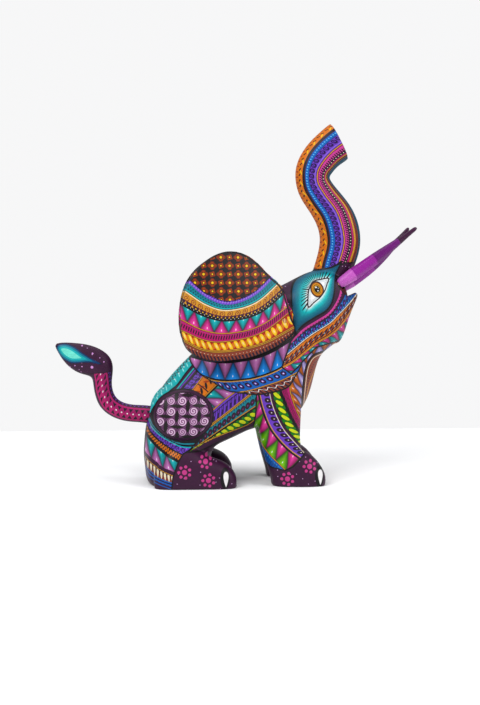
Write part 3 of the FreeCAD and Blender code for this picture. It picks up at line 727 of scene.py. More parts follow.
LEG_BANDS = (
    Band(COPPER, (
        Mark(Shape.TOP, GOLD, size=0.4, at=2.4), Mark(Shape.FOOT, CREAM, size=0.3, at=1.8),
        Mark(Shape.BLOCKS, DEEP_PLUM, size=0.5, tall=0.6, pitch=2.4, at=0.55),
        Mark(Shape.FOOT, INK, size=0.6, at=0.2),
    )),
    saws(INK, tint("9a7ad8"), tint("d8ccf4"), BURNT, ORANGE, 10.0),
    Band(MAGENTA, (
        Mark(Shape.SPIRALS, DEEP_PLUM, size=2.6, tall=1.6, pitch=5.0, at=0.55),
        Mark(Shape.DOTS, PINK, size=0.45, pitch=5.0, at=0.25, shift=0.5),
    ) + edge_lines(GOLD, INK)),
    Band(DARK_GREEN, (
        Mark(Shape.LEAVES, GREEN, size=2.3, tall=5.0, pitch=6.6, at=0.5, slant=0.4, shift=0.5),
        Mark(Shape.LEAVES, LEAF, size=1.5, tall=3.7, pitch=6.6, at=0.5, slant=0.95, rim=0.25, rim_colour=INK),
    ) + edge_lines(INK, PLUM)),
    Band(VIOLET, (
        Mark(Shape.DOTS, DEEP_PLUM, size=1.9, tall=2.2, pitch=5.3, at=0.42, rim=0.3, heart=PLUM, inset=0.7),
        Mark(Shape.DOTS, WHITE, size=0.4, pitch=5.3, at=0.42),
        Mark(Shape.TOP, PLUM, size=1.0, at=0.6), Mark(Shape.TOP, CREAM, size=0.28, at=1.5),
        Mark(Shape.FOOT, INK, size=0.5, at=0.0), Mark(Shape.FOOT, GOLD, size=0.35, at=0.8),
    )),
    saws(INK, MAGENTA, tint("ee62b4"), GREEN, tint("8cd02c"), 12.0),
    Band(BLUE, (
        Mark(Shape.BLOCKS, NAVY, size=0.6, tall=2.2, pitch=2.6, at=0.5),
        Mark(Shape.DOTS, SKY, size=0.35, pitch=2.6, at=0.25, shift=0.5),
    ) + edge_lines(GOLD, GOLD)),
    Band(PLUM),
)
FACE_GUIDES = (
    ((45, 121), (50.2, 127.2), (56, 133), (65, 138.7), (73.4, 143.6), (78.6, 150.2), (81.3, 159.2),
     (82.4, 169)),
    ((46, 118.5), (53.7, 124.6), (66.3, 132.1), (76.8, 139), (84, 146.6), (89.6, 155), (91.5, 162)),
    ((46, 113), (54, 119.1), (65.1, 126.8), (76.9, 134.2), (84.2, 140.8), (92.7, 147.8), (101.5, 156.6)),
    ((34.6, 97.1), (45.2, 102.3), (55.4, 109.5), (65.5, 116.9), (77.3, 123.7), (88.1, 132.4), (96, 142.2),
     (104.5, 153.8)),
    ((44, 92), (55, 103), (64.9, 112.5), (76, 115.5), (86, 117), (97, 127), (106, 141)),
)
FACE_BANDS = (
    Band(PLUM, (
        Mark(Shape.SCALLOPS, PINK, size=1.5, pitch=2.7, at=0.5), Mark(Shape.LINE, PINK, size=0.5, at=0.5),
        Mark(Shape.FOOT, INK, size=0.4, at=0.0),
    )),
    Band(BLUE, (
        Mark(Shape.DOTS, DARK_VIOLET, size=1.9, pitch=4.8, at=0.42, rim=0.25, heart=VIOLET, inset=1.1),
        Mark(Shape.DOTS, SKY, size=0.5, pitch=2.4, at=0.8),
        Mark(Shape.DOTS, SKY, size=0.35, pitch=4.8, at=0.15, shift=0.5),
    )),
    Band(ORANGE, (
        Mark(Shape.TOP, CREAM, size=0.42, at=0.3), Mark(Shape.TOP, INK, size=0.3, at=1.0),
        Mark(Shape.DOTS, DEEP_PLUM, size=1.9, pitch=5.2, at=0.56, rim=0.3, heart=PLUM, inset=0.7),
        Mark(Shape.DOTS, WHITE, size=0.45, pitch=5.2, at=0.56),
        Mark(Shape.DOTS, BURNT, size=0.8, pitch=5.2, at=0.6, shift=0.5),
        Mark(Shape.FOOT, INK, size=0.4, at=1.1),
    )),
    Band(INK, saws(INK, MAGENTA, tint("ee62b4"), TEAL, tint("38c8cc"), 9.6).marks
         + (Mark(Shape.TOP, GOLD, size=0.4, at=0.5),)),
    Band(PLUM),
)
TRUNK_SHARES = (
    (0.0, 0.0), (0.175, 0.185), (0.32, 0.34), (0.5, 0.575), (0.62, 0.76), (0.7, 0.83), (0.76, 0.86),
    (0.83, 0.885),
    (0.91, 0.905),
)
TRUNK_BANDS = (
    Band(ORANGE, (
        Mark(Shape.LEAVES, YELLOW, size=0.5, tall=2.0, pitch=9.0, at=0.6, slant=1.2),
        Mark(Shape.BLOCKS, CHARCOAL, size=1.2, tall=0.4, pitch=4.5, at=0.4, slant=0.4),
        Mark(Shape.DOTS, BURNT, size=0.7, pitch=4.5, at=0.1, shift=0.5),
        Mark(Shape.FOOT, INK, size=0.7, at=0.3),
    )),
    Band(BLUE, (
        Mark(Shape.DOTS, SKY, size=0.62, pitch=2.3, at=0.6), Mark(Shape.TOP, INK, size=0.5, at=0.1),
        Mark(Shape.TOP, PLUM, size=0.5, at=0.9),
    )),
    Band(VIOLET, (
        Mark(Shape.DOTS, DARK_VIOLET, size=2.0, tall=2.3, pitch=4.4, at=0.4),
        Mark(Shape.SPIRALS, VIOLET, size=1.3, tall=1.3, pitch=4.4, at=0.4),
        Mark(Shape.TOP, DARK_VIOLET, size=0.4, at=0.1), Mark(Shape.FOOT, LAVENDER, size=0.3, at=1.2),
    )),
    Band(PINK, (
        Mark(Shape.BLOCKS, DEEP_PLUM, size=0.55, tall=1.6, pitch=1.9, at=0.85, slant=0.3),
        Mark(Shape.TOP, INK, size=0.6, at=0.2), Mark(Shape.TOP, GOLD, size=0.38, at=0.75),
        Mark(Shape.TOP, INK, size=0.3, at=1.5),
    )),
    Band(DEEP_PLUM, (Mark(Shape.DOTS, CREAM, size=0.42, pitch=2.6, at=0.5),)),
    Band(MAGENTA, (Mark(Shape.FOOT, INK, size=0.3, at=0.0),)),
    Band(GOLD, (Mark(Shape.FOOT, INK, size=0.3, at=0.0),)),
    Band(COPPER, (Mark(Shape.LINE, DEEP_PLUM, size=0.25, at=0.5),)),
    Band(DEEP_TEAL, (
        Mark(Shape.BLOCKS, TURQUOISE, size=1.6, tall=1.2, pitch=5.0, at=0.5, rim=0.3),
    )),
)
TRUNK_STATIONS = (
    (74, 150, -12, 12.8), (80.5, 170, -4, 15.1), (84.5, 183, 0, 17.0), (88.6, 202, 4, 17.2),
    (83.4, 223, 20, 16.4), (72.3, 238.8, 31, 14.8), (66.2, 249, 20, 14.3), (65.6, 259, -8, 14.2),
    (69.4, 267.8, -30, 15.3), (76.2, 276, -46, 15.7), (84.2, 282.7, -58.5, 16.4), (92, 287.6, -63, 17),
)
TAIL_SHARES = (-0.1, 0.12, 0.20, 0.48, 0.76, 0.84, 1.2)
TAIL_STATIONS = (
    (-66, 56, 80, 7.5), (-79.5, 57, 83, 7.5), (-85.5, 57.4, 84, 7.5), (-92, 58.4, 77, 7.5),
    (-98, 60.4, 64, 7.5), (-103.4, 63.8, 50, 7.5), (-107, 67.8, 34, 7.5), (-110.2, 76, 8, 7.5),
    (-111.2, 84.5, 4, 7.5), (-112.2, 92, 6, 7.5), (-113, 99, 8, 7.5), (-114, 110, 8, 7.5),
)
TAIL_BANDS = (
    Band(PLUM, (Mark(Shape.DOTS, LILAC, size=0.4, pitch=7.0, at=0.5),)),
    Band(tint("c23a80")),
    Band(tint("c23a80"), (
        Mark(Shape.SAW_DOWN, DEEP_PLUM, pitch=4.9),
        Mark(Shape.DOTS, WHITE, size=0.6, pitch=4.9, at=1.0, shift=0.5),
    )),
    Band(tint("b03478"), (
        Mark(Shape.SAW_UP, DEEP_PLUM, pitch=4.9),
        Mark(Shape.DOTS, WHITE, size=0.6, pitch=4.9, at=0.0, shift=0.5),
    )),
    Band(tint("c23a80")),
    Band(PLUM, (Mark(Shape.WAVE, tint("8f62c4"), size=0.28, pitch=3.4, at=0.35, tall=0.8),)),
    Band(PLUM),
)
EYE_PATCH = ((88.3, 184.5), (84.0, 175), (81.9, 169.1), (80.9, 159.2), (78.6, 150.2), (73.4, 143.6),
             (65, 138.7),
             (56, 133), (50.6, 127.8), (48.2, 124.2), (46.6, 131), (45.4, 140), (44.7, 152.6), (45.7, 162.5),
             (49.8, 169.5), (57.4, 174.3), (64.2, 177.4), (70.5, 178), (78.5, 179.4), (84.3, 182))
EYE_ALMOND = ((76.2, 170.4), (70, 169.6), (63.3, 167.6), (59.4, 161), (58.4, 154), (58.6, 146.6), (63, 150.4),
              (68.6, 155), (72.6, 160.4), (74.6, 165.6))
EYE_CENTRE = (66.2, 161.4)
HAUNCH_CENTRE = (-44.3, 59.4)
HAUNCH_RADII = (24.4, 20.8)


def ellipse(centre: Point, radii: Point, count: int = 24) -> tuple[Point, ...]:
    """Points round an upright ellipse."""
    turns = [2 * math.pi * i / count for i in range(count)]
    return tuple((centre[0] + radii[0] * math.cos(t), centre[1] + radii[1] * math.sin(t)) for t in turns)


LEVEL_STATIONS = 4


def across_stations(stations: Sequence[tuple[float, float, float, float]], share: float,
                    last: Optional[float] = None) -> tuple[Point, ...]:
    """Points at one share of the way across a limb.

    Args:
        stations: (x, z, tilt in degrees, half thickness) along the limb.
        share: 0 at one edge and 1 at the other, at the first station.
        last: the share at the last station, if it isn't the same.

    Returns:
        One (x, z) for each station.
    """
    made = []
    for index, (x, z, tilt, half) in enumerate(stations):
        gone = min(index / (len(stations) - LEVEL_STATIONS), 1.0)
        here = share if last is None else share + (last - share) * gone
        offset = (2 * here - 1) * half
        made.append((x + offset * math.cos(math.radians(tilt)), z + offset * math.sin(math.radians(tilt))))
    return tuple(made)


class Look(Enum):
    """How a field of a carving is painted."""

    BANDS = auto()
    PLUM = auto()
    ROSES = auto()
    EYE = auto()
    MOUTH = auto()
    TUFT = auto()


@dataclass(frozen=True)
class Region:
    """A painted field of a carving."""

    name: str
    look: Look = Look.BANDS
    outline: Optional[tuple[Point, ...]] = None
    guides: tuple[tuple[Point, ...], ...] = ()
    bands: tuple[Band, ...] = ()
    border: float = 0.7
    reach: float = 0.0
    steps: int = 6
    lift: float = 0.0


class PaintedField:
    """Works out a region's painting coordinates and its material."""

    def __init__(self, region: Region) -> None:
        """Prepares a region's guides and outline."""
        self.region = region
        self.guides = [Guide(g) for g in region.guides]
        self.outline = Outline(region.outline, region.steps) if region.outline else None

    def coordinates(self, points: np.ndarray) -> np.ndarray:
        """Finds (run along, band number and share, band width) of points in the side view."""
        if self.region.look is Look.EYE:
            return self.eye_coordinates(points)
        if len(self.guides) < 2:
            return np.zeros((len(points), 3))
        sides, runs = zip(*(g.measure(points) for g in self.guides))
        sides, runs = np.array(sides), np.array(runs)
        level = np.zeros(len(points))
        width = np.full(len(points), 5.0)
        along = runs[0].copy()
        for k in range(len(self.guides) - 1):
            here = sides[k] > 0
            gap = np.maximum(sides[k] - sides[k + 1], 0.5)
            share = np.clip(sides[k] / gap, 0, 0.9999)
            level = np.where(here, k + share, level)
            width = np.where(here, gap, width)
            along = np.where(here, runs[k] * (1 - share) + runs[k + 1] * share, along)
        last = len(self.guides) - 1
        past = sides[last] > 0
        level = np.where(past, last + np.clip(sides[last] / 12, 0, 0.99), level)
        width = np.where(past, 12.0, width)
        along = np.where(past, runs[last], along)
        return np.stack([along, level, width], axis=1)

    def eye_coordinates(self, points: np.ndarray) -> np.ndarray:
        """Rings between the patch's outline and the eye's: (nothing, share, distance outside the eye)."""
        almond = Outline(EYE_ALMOND)
        to_eye = almond.distance(points) * np.where(almond.contains(points), -1, 1)
        to_rim = self.outline.distance(points)
        share = to_rim / np.maximum(to_rim + np.maximum(to_eye, 0), 0.1)
        return np.stack([np.zeros(len(points)), share, to_eye], axis=1)

    def material(self, finish: Varnish) -> bpy.types.Material:
        """Paints the region's material."""
        brush = Brush(f"paint_{self.region.name}")
        painters: dict[Look, Callable[[Brush], Shade]] = {
            Look.BANDS: lambda b: b.bands(self.region.bands), Look.PLUM: plum_ground, Look.ROSES: rose_disc,
            Look.EYE: painted_eye, Look.MOUTH: lambda b: tint("5a1018"), Look.TUFT: tail_tuft,
        }
        colour = painters[self.region.look](brush)
        if self.region.border:
            colour = brush.outlined(colour, self.region.border)
        finish.surface(brush, colour)
        return brush.material


FLOWERS = ((-43.5, -46, 14.2), (-24.2, -46, 7.6), (-26.4, -40, 22.4), (58.8, -34, 16.8), (40.6, -36, 6.8))
NAILS = ((-10.2, 8.8), (67.6, 8.6))
FRONT_NAILS = ((-3.0, 33.0), (71.0, 25.0))


SPECK_GAP = 9.0
TUFT_SPECKS = (
    (-127.8, 114.6, 0.75), (-119.0, 108.1, 0.8), (-133.7, 98.0, 0.6), (-127.8, 97.2, 0.6),
    (-138.0, 96.7, 0.6),
    (-119.5, 96.7, 1.2), (-128.8, 92.5, 0.55), (-109.6, 101.1, 0.6), (-119.3, 89.4, 0.6),
    (-113.0, 104.5, 0.5),
)


def tuft_specks(brush: Brush, colour: Shade) -> Shade:
    """Paints the lilac specks on the tail's tuft.

    Args:
        brush: the brush that holds the material.
        colour: the paint below.

    Returns:
        The paint with its specks.
    """
    for x, z, size in TUFT_SPECKS:
        colour = brush.over(colour, tint("d8a4dc"), (size - (brush.x - x).span(brush.z - z)).mask(0.2))
    return colour


def plum_ground(brush: Brush) -> Shade:
    """Plum paint with pale specks, pink flowers on the feet and painted toenails."""
    colour: Shade = PLUM
    flat = brush.tree.nodes.new("ShaderNodeCombineXYZ")
    brush.tree.links.new(brush.x.socket, flat.inputs[0])
    brush.tree.links.new(brush.z.socket, flat.inputs[1])
    specks = brush.tree.nodes.new("ShaderNodeTexVoronoi")
    specks.voronoi_dimensions = "2D"
    specks.inputs["Scale"].default_value = 1 / SPECK_GAP
    brush.tree.links.new(flat.outputs[0], specks.inputs["Vector"])
    near = Field(brush.tree, specks.outputs["Distance"]) * SPECK_GAP
    colour = brush.over(colour, tint("d8b4dc"), (0.38 - near).mask(0.15))
    colour = tuft_specks(brush, colour)
    side = abs(brush.y)
    for x, y, z in FLOWERS:
        dx, dz = brush.x - x, brush.z - z
        out = dx.span(dz)
        turn = (dz.angle(dx) * (7 / (2 * math.pi))).fraction() - 0.5
        petal = (turn * out * (2 * math.pi / 7)).span(out - 4.6)
        near_side = (side + y + 12.0).mask(1.0)
        colour = brush.over(colour, tint("d05a9a"), ((1.3 - petal).most(2.1 - out)).mask(0.2) * near_side)
    for x, z in NAILS:
        nail = ((brush.x - x + 0.5) / 3.9).span((brush.z - z) / 8.6)
        lean_in = (brush.z - z) * 0.09 + 1.0
        white = ((brush.x - x - 0.2) / (lean_in.most(0.2) * 2.0)).span((brush.z - z + 0.8) / 6.2)
        outer = (side - 26.0).mask(0.5)
        colour = brush.over(colour, INK, (1.0 - nail).mask(0.06) * outer)
        colour = brush.over(colour, WHITE, (1.0 - white).mask(0.08) * outer)
    for x, y in FRONT_NAILS:
        nail = ((side - y) / 3.4).span((brush.z - 8.0) / 6.6)
        white = ((side - y) / 2.0).span((brush.z - 7.2) / 4.8)
        front = (brush.x - x).mask(0.5) * (x + 12.0 - brush.x).mask(0.5)
        colour = brush.over(colour, INK, (1.0 - nail).mask(0.06) * front)
        colour = brush.over(colour, WHITE, (1.0 - white).mask(0.08) * front)
    return colour


def rose_disc(brush: Brush) -> Shade:
    """Charcoal with lilac petals and pale spiral roses in a plum ring."""
    colour: Shade = CHARCOAL
    for mark in (
        Mark(Shape.PETALS, tint("83507f"), size=5.2, pitch=18.0, lattice=8.4, slant=0.4),
        Mark(Shape.PETALS, tint("83507f"), size=4.6, pitch=18.0, lattice=8.4, shift=0.5, slant=1.1, rim=0.5,
             rim_colour=CHARCOAL),
        Mark(Shape.DOTS, tint("8e5888"), size=3.7, pitch=18.0, lattice=8.4, rim=0.4, rim_colour=CHARCOAL),
        Mark(Shape.SPIRALS, tint("ead0e6"), size=3.5, tall=1.8, pitch=18.0, lattice=8.4),
        Mark(Shape.DOTS, tint("8e5888"), size=3.3, pitch=18.0, lattice=8.4, shift=0.5, rim=0.4,
             rim_colour=CHARCOAL),
        Mark(Shape.SPIRALS, tint("d8b8d4"), size=3.1, tall=1.6, pitch=18.0, lattice=8.4, shift=0.5),
    ):
        colour = brush.stroke(colour, mark)
    colour = brush.over(colour, PLUM, (2.3 - brush.edge).mask(0.2))
    return brush.over(colour, INK, (0.35 - abs(brush.edge - 2.4)).mask(0.2))


def painted_eye(brush: Brush) -> Shade:
    """Ringed turquoise patch, lashes, white and iris of an eye, with painted shade round the rim of the white
    and painted highlights on the pupil.
    """
    ramp = brush.tree.nodes.new("ShaderNodeValToRGB")
    brush.tree.links.new(brush.level.socket, ramp.inputs["Fac"])
    stops = ((0.0, DEEP_TEAL), (0.2, tint("06708c")), (0.42, TEAL), (0.62, TURQUOISE), (0.8, tint("86dcdc")),
             (0.95, WHITE))
    ramp.color_ramp.elements[0].color, ramp.color_ramp.elements[1].color = stops[0][1], stops[-1][1]
    ramp.color_ramp.elements[1].position = stops[-1][0]
    for place, colour in stops[1:-1]:
        ramp.color_ramp.elements.new(place).color = colour
    paint: Shade = ramp.outputs["Color"]
    dx, dz = brush.x - EYE_CENTRE[0], brush.z - EYE_CENTRE[1]
    out = brush.width
    turn = (dz.angle(dx) * 6.6).fraction() - 0.5
    lash = (0.31 - out * 0.034 - abs(turn)).mask(0.08)
    upper = (dz * 0.8 - dx + 5.0).mask(3.0)
    paint = brush.over(paint, INK, lash * upper * (5.6 - out).mask(0.4))
    paint = brush.over(paint, WHITE, (0.2 - out).mask(0.2))
    # A soft blue-grey band just inside the rim of the eye white: painted shade, greying the white near the
    # lids.
    paint = brush.over(paint, tint("c8d4d8"), (0.9 - abs(out + 1.4)).mask(1.4))
    lean = math.radians(18)
    a = dx * math.cos(lean) + dz * math.sin(lean)
    b = dz * math.cos(lean) - dx * math.sin(lean)
    ring = (a / 5.6).span(b / 6.9)
    inside = (-0.3 - out).mask(0.3)
    for reach, colour in ((1.0, INK), (0.92, tint("5c2c0c")), (0.84, tint("b0701c")), (0.74, tint("e0a038")),
                          (0.60, tint("6a3810")), (0.52, tint("e8b848")), (0.44, INK)):
        paint = brush.over(paint, colour, (reach - ring).mask(0.04) * inside)
    # Three white dots on the pupil: painted highlights, glints that stand in for reflected light.
    for x, z, r in ((-0.9, 1.6, 0.75), (0.7, -1.2, 0.6), (0.9, 1.0, 0.4)):
        paint = brush.over(paint, WHITE, (r - (dx - x).span(dz - z)).mask(0.3))
    return brush.over(paint, INK, (0.55 - abs(out)).mask(0.2))


def tail_tuft(brush: Brush) -> Shade:
    """Plum tuft with lilac dots and a blue drop."""
    colour: Shade = PLUM
    colour = tuft_specks(brush, colour)
    rings = ((0.0, tint("0c4878")), (1.1, tint("0c8ca4")), (2.4, TURQUOISE), (3.9, tint("8cecdc")))
    for depth, paint in rings:
        colour = brush.over(colour, paint, (brush.edge - depth).mask(0.3))
    return colour


def merged_copy(node: str, name: str) -> bpy.types.Object:
    """Copies a CAD node's mesh into a new piece and joins its loose triangles.

    Args:
        node: the CAD node.
        name: the new piece's name.

    Returns:
        The new piece, at the origin.
    """
    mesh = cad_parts[node].data.copy()
    mesh.name = name
    mesh.materials.clear()
    piece = bpy.data.objects.new(name, mesh)
    bpy.context.scene.collection.objects.link(piece)
    shape = bmesh.new()
    shape.from_mesh(mesh)
    bmesh.ops.remove_doubles(shape, verts=shape.verts, dist=2e-6)
    shape.to_mesh(mesh)
    shape.free()
    return piece


def sand(mesh: bpy.types.Mesh, passes: int) -> None:
    """Eases a mesh's edges a little, as sanding does.

    Args:
        mesh: the mesh, changed in place.
        passes: how many times it is eased.
    """
    shape = bmesh.new()
    shape.from_mesh(mesh)
    for _ in range(passes):
        bmesh.ops.smooth_vert(shape, verts=shape.verts, factor=0.5,
                              use_axis_x=True, use_axis_y=True, use_axis_z=True)
    shape.to_mesh(mesh)
    shape.free()


def remeshed(piece: bpy.types.Object, grain: float, passes: int) -> None:
    """Gives a piece an even skin of small faces and eases its edges.

    Args:
        piece: the piece, changed in place.
        grain: the width of a face, in metres.
        passes: how many times the skin is eased.
    """
    skin = piece.modifiers.new("even_skin", "REMESH")
    skin.mode = "VOXEL"
    skin.voxel_size = grain
    skin.use_smooth_shade = True
    graph = bpy.context.evaluated_depsgraph_get()
    made = bpy.data.meshes.new_from_object(piece.evaluated_get(graph))
    piece.modifiers.clear()
    made.name = piece.name
    piece.data = made
    sand(made, passes)
    for face in made.polygons:
        face.use_smooth = True


def points_of(mesh: bpy.types.Mesh) -> np.ndarray:
    """A mesh's vertices, in millimetres."""
    found = np.zeros(len(mesh.vertices) * 3)
    mesh.vertices.foreach_get("co", found)
    return found.reshape(-1, 3) / MM


@dataclass
class PaintedCarving:
    """A carved wooden piece with painted fields."""

    node: str
    body: str
    regions: tuple[Region, ...]
    grain: float = 1.0
    passes: int = 3
    finish: Varnish = field(default_factory=Varnish)

    def build(self) -> bpy.types.Object:
        """Carves, paints and places the piece.

        Returns:
            The finished piece.
        """
        piece = merged_copy(self.node, f"{self.node}_painted")
        remeshed(piece, self.grain * MM, self.passes)
        self.carve(piece)
        self.paint(piece)
        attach(piece, self.body)
        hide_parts(self.node)
        return piece

    def carve(self, piece: bpy.types.Object) -> None:
        """Raises the fields that stand proud of the wood round them."""
        mesh = piece.data
        points = points_of(mesh)
        normals = np.zeros(len(mesh.vertices) * 3)
        mesh.vertices.foreach_get("normal", normals)
        normals = normals.reshape(-1, 3)
        for region in self.regions:
            if region.lift:
                outline = Outline(region.outline, region.steps)
                flat = points[:, [0, 2]]
                depth = np.where(outline.contains(flat), outline.distance(flat), 0)
                sideways = np.clip(np.abs(normals[:, 1]) * 2.5 - 0.5, 0, 1)
                sideways = sideways * (np.abs(points[:, 1]) >= region.reach)
                points = points + normals * (region.lift * np.clip(depth / 1.6, 0, 1) * sideways)[:, None]
        mesh.vertices.foreach_set("co", (points * MM).ravel())
        mesh.update()

    def paint(self, piece: bpy.types.Object) -> None:
        """Gives each field of the piece its painting coordinates and its material."""
        mesh = piece.data
        points = points_of(mesh)
        flat = points[:, [0, 2]]
        corner_point = np.zeros(len(mesh.loops), int)
        mesh.loops.foreach_get("vertex_index", corner_point)
        totals = np.zeros(len(mesh.polygons), int)
        mesh.polygons.foreach_get("loop_total", totals)
        centres = np.zeros(len(mesh.polygons) * 3)
        mesh.polygons.foreach_get("center", centres)
        centres = centres.reshape(-1, 3) / MM
        owner = np.zeros(len(mesh.polygons), int)
        fields = [PaintedField(r) for r in self.regions]
        for index, painted in enumerate(fields):
            if painted.outline:
                inside = painted.outline.contains(centres[:, [0, 2]])
                owner[inside & (np.abs(centres[:, 1]) >= painted.region.reach)] = index
        corner_owner = np.repeat(owner, totals)
        paint = np.zeros((len(mesh.loops), 3))
        edge = np.full(len(mesh.loops), 50.0)
        gaps = [f.outline.distance(flat) if f.outline else None for f in fields]
        for index, painted in enumerate(fields):
            corners = corner_owner == index
            if corners.any():
                used = np.unique(corner_point[corners])
                place = np.zeros((len(points), 3))
                place[used] = painted.coordinates(flat[used])
                paint[corners] = place[corner_point[corners]]
                nearest = np.full(len(points), 50.0)
                for gap, other in list(zip(gaps, fields))[index:]:
                    if gap is not None:
                        reached = np.abs(points[:, 1]) >= other.region.reach - 2
                        nearest = np.where(reached, np.minimum(nearest, gap), nearest)
                edge[corners] = nearest[corner_point[corners]]
            mesh.materials.append(painted.material(self.finish))
        mesh.attributes.new("paint", "FLOAT_VECTOR", "CORNER").data.foreach_set("vector", paint.ravel())
        mesh.attributes.new("edge", "FLOAT", "CORNER").data.foreach_set("value", edge)
        mesh.polygons.foreach_set("material_index", owner)
        mesh.update()


BODY_REGIONS = (
    Region("plum", Look.PLUM, border=0.6),
    Region("torso", outline=((-84, -4), (-84, 60), (-70, 84), (-46, 112), (-26, 116), (30, 100), (24, 62),
                             (18, 48),
                             (4, 44), (-20, 34), (-30, 30), (-45, 30), (-66, -4)),
           guides=TORSO_GUIDES, bands=TORSO_BANDS, steps=1),
    Region("rump", outline=((-75.5, -4), (-76.2, 30), (-74.6, 50), (-71.5, 60), (-66, 62), (-40, 52),
                            (-28, 42),
                            (-32.3, 38.4), (-38.1, 32.1), (-44.6, 28.7), (-47.9, 23.3), (-50.7, 15.8),
                            (-52.8, 9.8),
                            (-54.1, -4)),
           guides=RUMP_GUIDES, bands=RUMP_BANDS, steps=1),
    Region("haunch", Look.ROSES, outline=ellipse(HAUNCH_CENTRE, HAUNCH_RADII), border=0.5, lift=0.5),
    Region("leg", outline=((16, 90), (15, 60), (12, 30), (20, 22), (27.5, 16), (38.5, 13.6), (45, 16.4),
                           (52, 23.2), (57, 28), (64, 50), (66, 84), (72, 96), (84, 101), (97, 112),
                           (92, 119),
                           (76, 116.3), (60, 113), (50, 101), (40, 88)),
           guides=LEG_GUIDES, bands=LEG_BANDS, steps=1),
    Region("collar", outline=((-38.1, 104.9), (-35.2, 97.8), (-28.8, 91.6), (-19.2, 85.6), (-9.5, 79.8),
                              (-3.8, 78.3),
                              (10, 76.4), (20, 76.2), (34.7, 79), (42.3, 82.6), (46.6, 89), (52, 98),
                              (55, 108),
                              (57, 120), (50, 128), (30, 122), (0, 112), (-30, 112)),
           guides=COLLAR_GUIDES, bands=COLLAR_BANDS, steps=4, lift=1.2),
    Region("trunk", outline=((66, 177.3), (80, 179.5), (92, 183.5), (112, 184), (112, 214), (98, 236),
                             (86, 252),
                             (100, 262), (112, 286), (84, 312), (60, 296), (40, 262), (44, 240), (62, 222),
                             (66, 196)),
           guides=tuple(across_stations(TRUNK_STATIONS, *s) for s in TRUNK_SHARES), bands=TRUNK_BANDS,
           steps=1),
    Region("face", outline=((44, 119), (36, 98), (44, 92.6), (56, 104), (66, 113.4), (78, 116.6), (88, 118),
                            (97, 125), (112, 142), (110, 160), (98, 158.8), (92, 158), (88, 161), (86, 172),
                            (80, 172), (60, 140)),
           guides=FACE_GUIDES, bands=FACE_BANDS, steps=1),
    Region("eye", Look.EYE, outline=EYE_PATCH, border=0.9, lift=0.6),
    Region("mouth", Look.MOUTH, outline=((84, 163.8), (103, 160.6), (101, 158.2), (94, 156.4), (90, 157.4)),
           border=0.3, steps=1),
)
EAR_REGIONS = (
    Region("ear", outline=((-12.2, 103.7), (-31.9, 106.7), (-42.1, 114.3), (-47, 130.8), (-46.3, 148.8),
                           (-41, 167.2), (-28.2, 182.8), (-8, 191.3), (9.9, 185.9), (24.5, 172.1),
                           (34.8, 162.9),
                           (39.6, 150.4), (43.3, 137.9), (46.4, 127.3), (30.9, 114.8), (8.4, 106.2)),
           guides=EAR_GUIDES, bands=EAR_BANDS, border=0.8),
)
TAIL_REGIONS = (
    Region("tail_shaft", guides=tuple(across_stations(TAIL_STATIONS, s) for s in TAIL_SHARES),
           bands=TAIL_BANDS,
           border=0.5),
    Region("tail_tip", Look.PLUM, outline=((-100, 93), (-124, 91), (-156, 100), (-156, 124), (-120, 124),
                                           (-98, 108)),
           border=0.0, steps=1),
    Region("tail_drop", Look.TUFT, outline=((-110.9, 98.8), (-119, 103.4), (-127.4, 108.9), (-134.4, 113.9),
                                            (-141.4, 116.4), (-147.6, 115.4), (-149.2, 112), (-147.6, 107.6),
                                            (-143.6, 103.4), (-137.2, 100.2), (-130.2, 100.1),
                                            (-121.8, 100.6)),
           border=0.3),
)


@dataclass(frozen=True)
class TuskPaint:
    """Four crisp blocks of purple paint along a tusk, from its root."""

    blocks: tuple[tuple[float, Colour], ...] = (
        (0.0, tint("cc74c8")), (0.19, tint("a43ca6")), (0.46, tint("7c2082")), (0.775, tint("4c1246")))
    roughness: float = 0.36

    def material(self, name: str, root: Vector, tip: Vector) -> bpy.types.Material:
        """Makes the paint for one tusk.

        Args:
            name: the material's name.
            root: the middle of the tusk's root, in metres.
            tip: the middle of its tip.

        Returns:
            The material.
        """
        brush = Brush(name)
        reach = tip - root
        dot = brush.tree.nodes.new("ShaderNodeVectorMath")
        dot.operation = "DOT_PRODUCT"
        brush.tree.links.new(brush.place, dot.inputs[0])
        dot.inputs[1].default_value = reach / reach.length_squared
        share = Field(brush.tree, dot.outputs["Value"]) - root.dot(reach) / reach.length_squared
        wobble = brush.noise(60.0, 2.0) * 0.012
        colour: Shade = self.blocks[0][1]
        for start, paint in self.blocks[1:]:
            colour = brush.over(colour, paint, (share + wobble - start).mask(0.004))
        Varnish(roughness=self.roughness, coat=0.1).surface(brush, colour)
        return brush.material


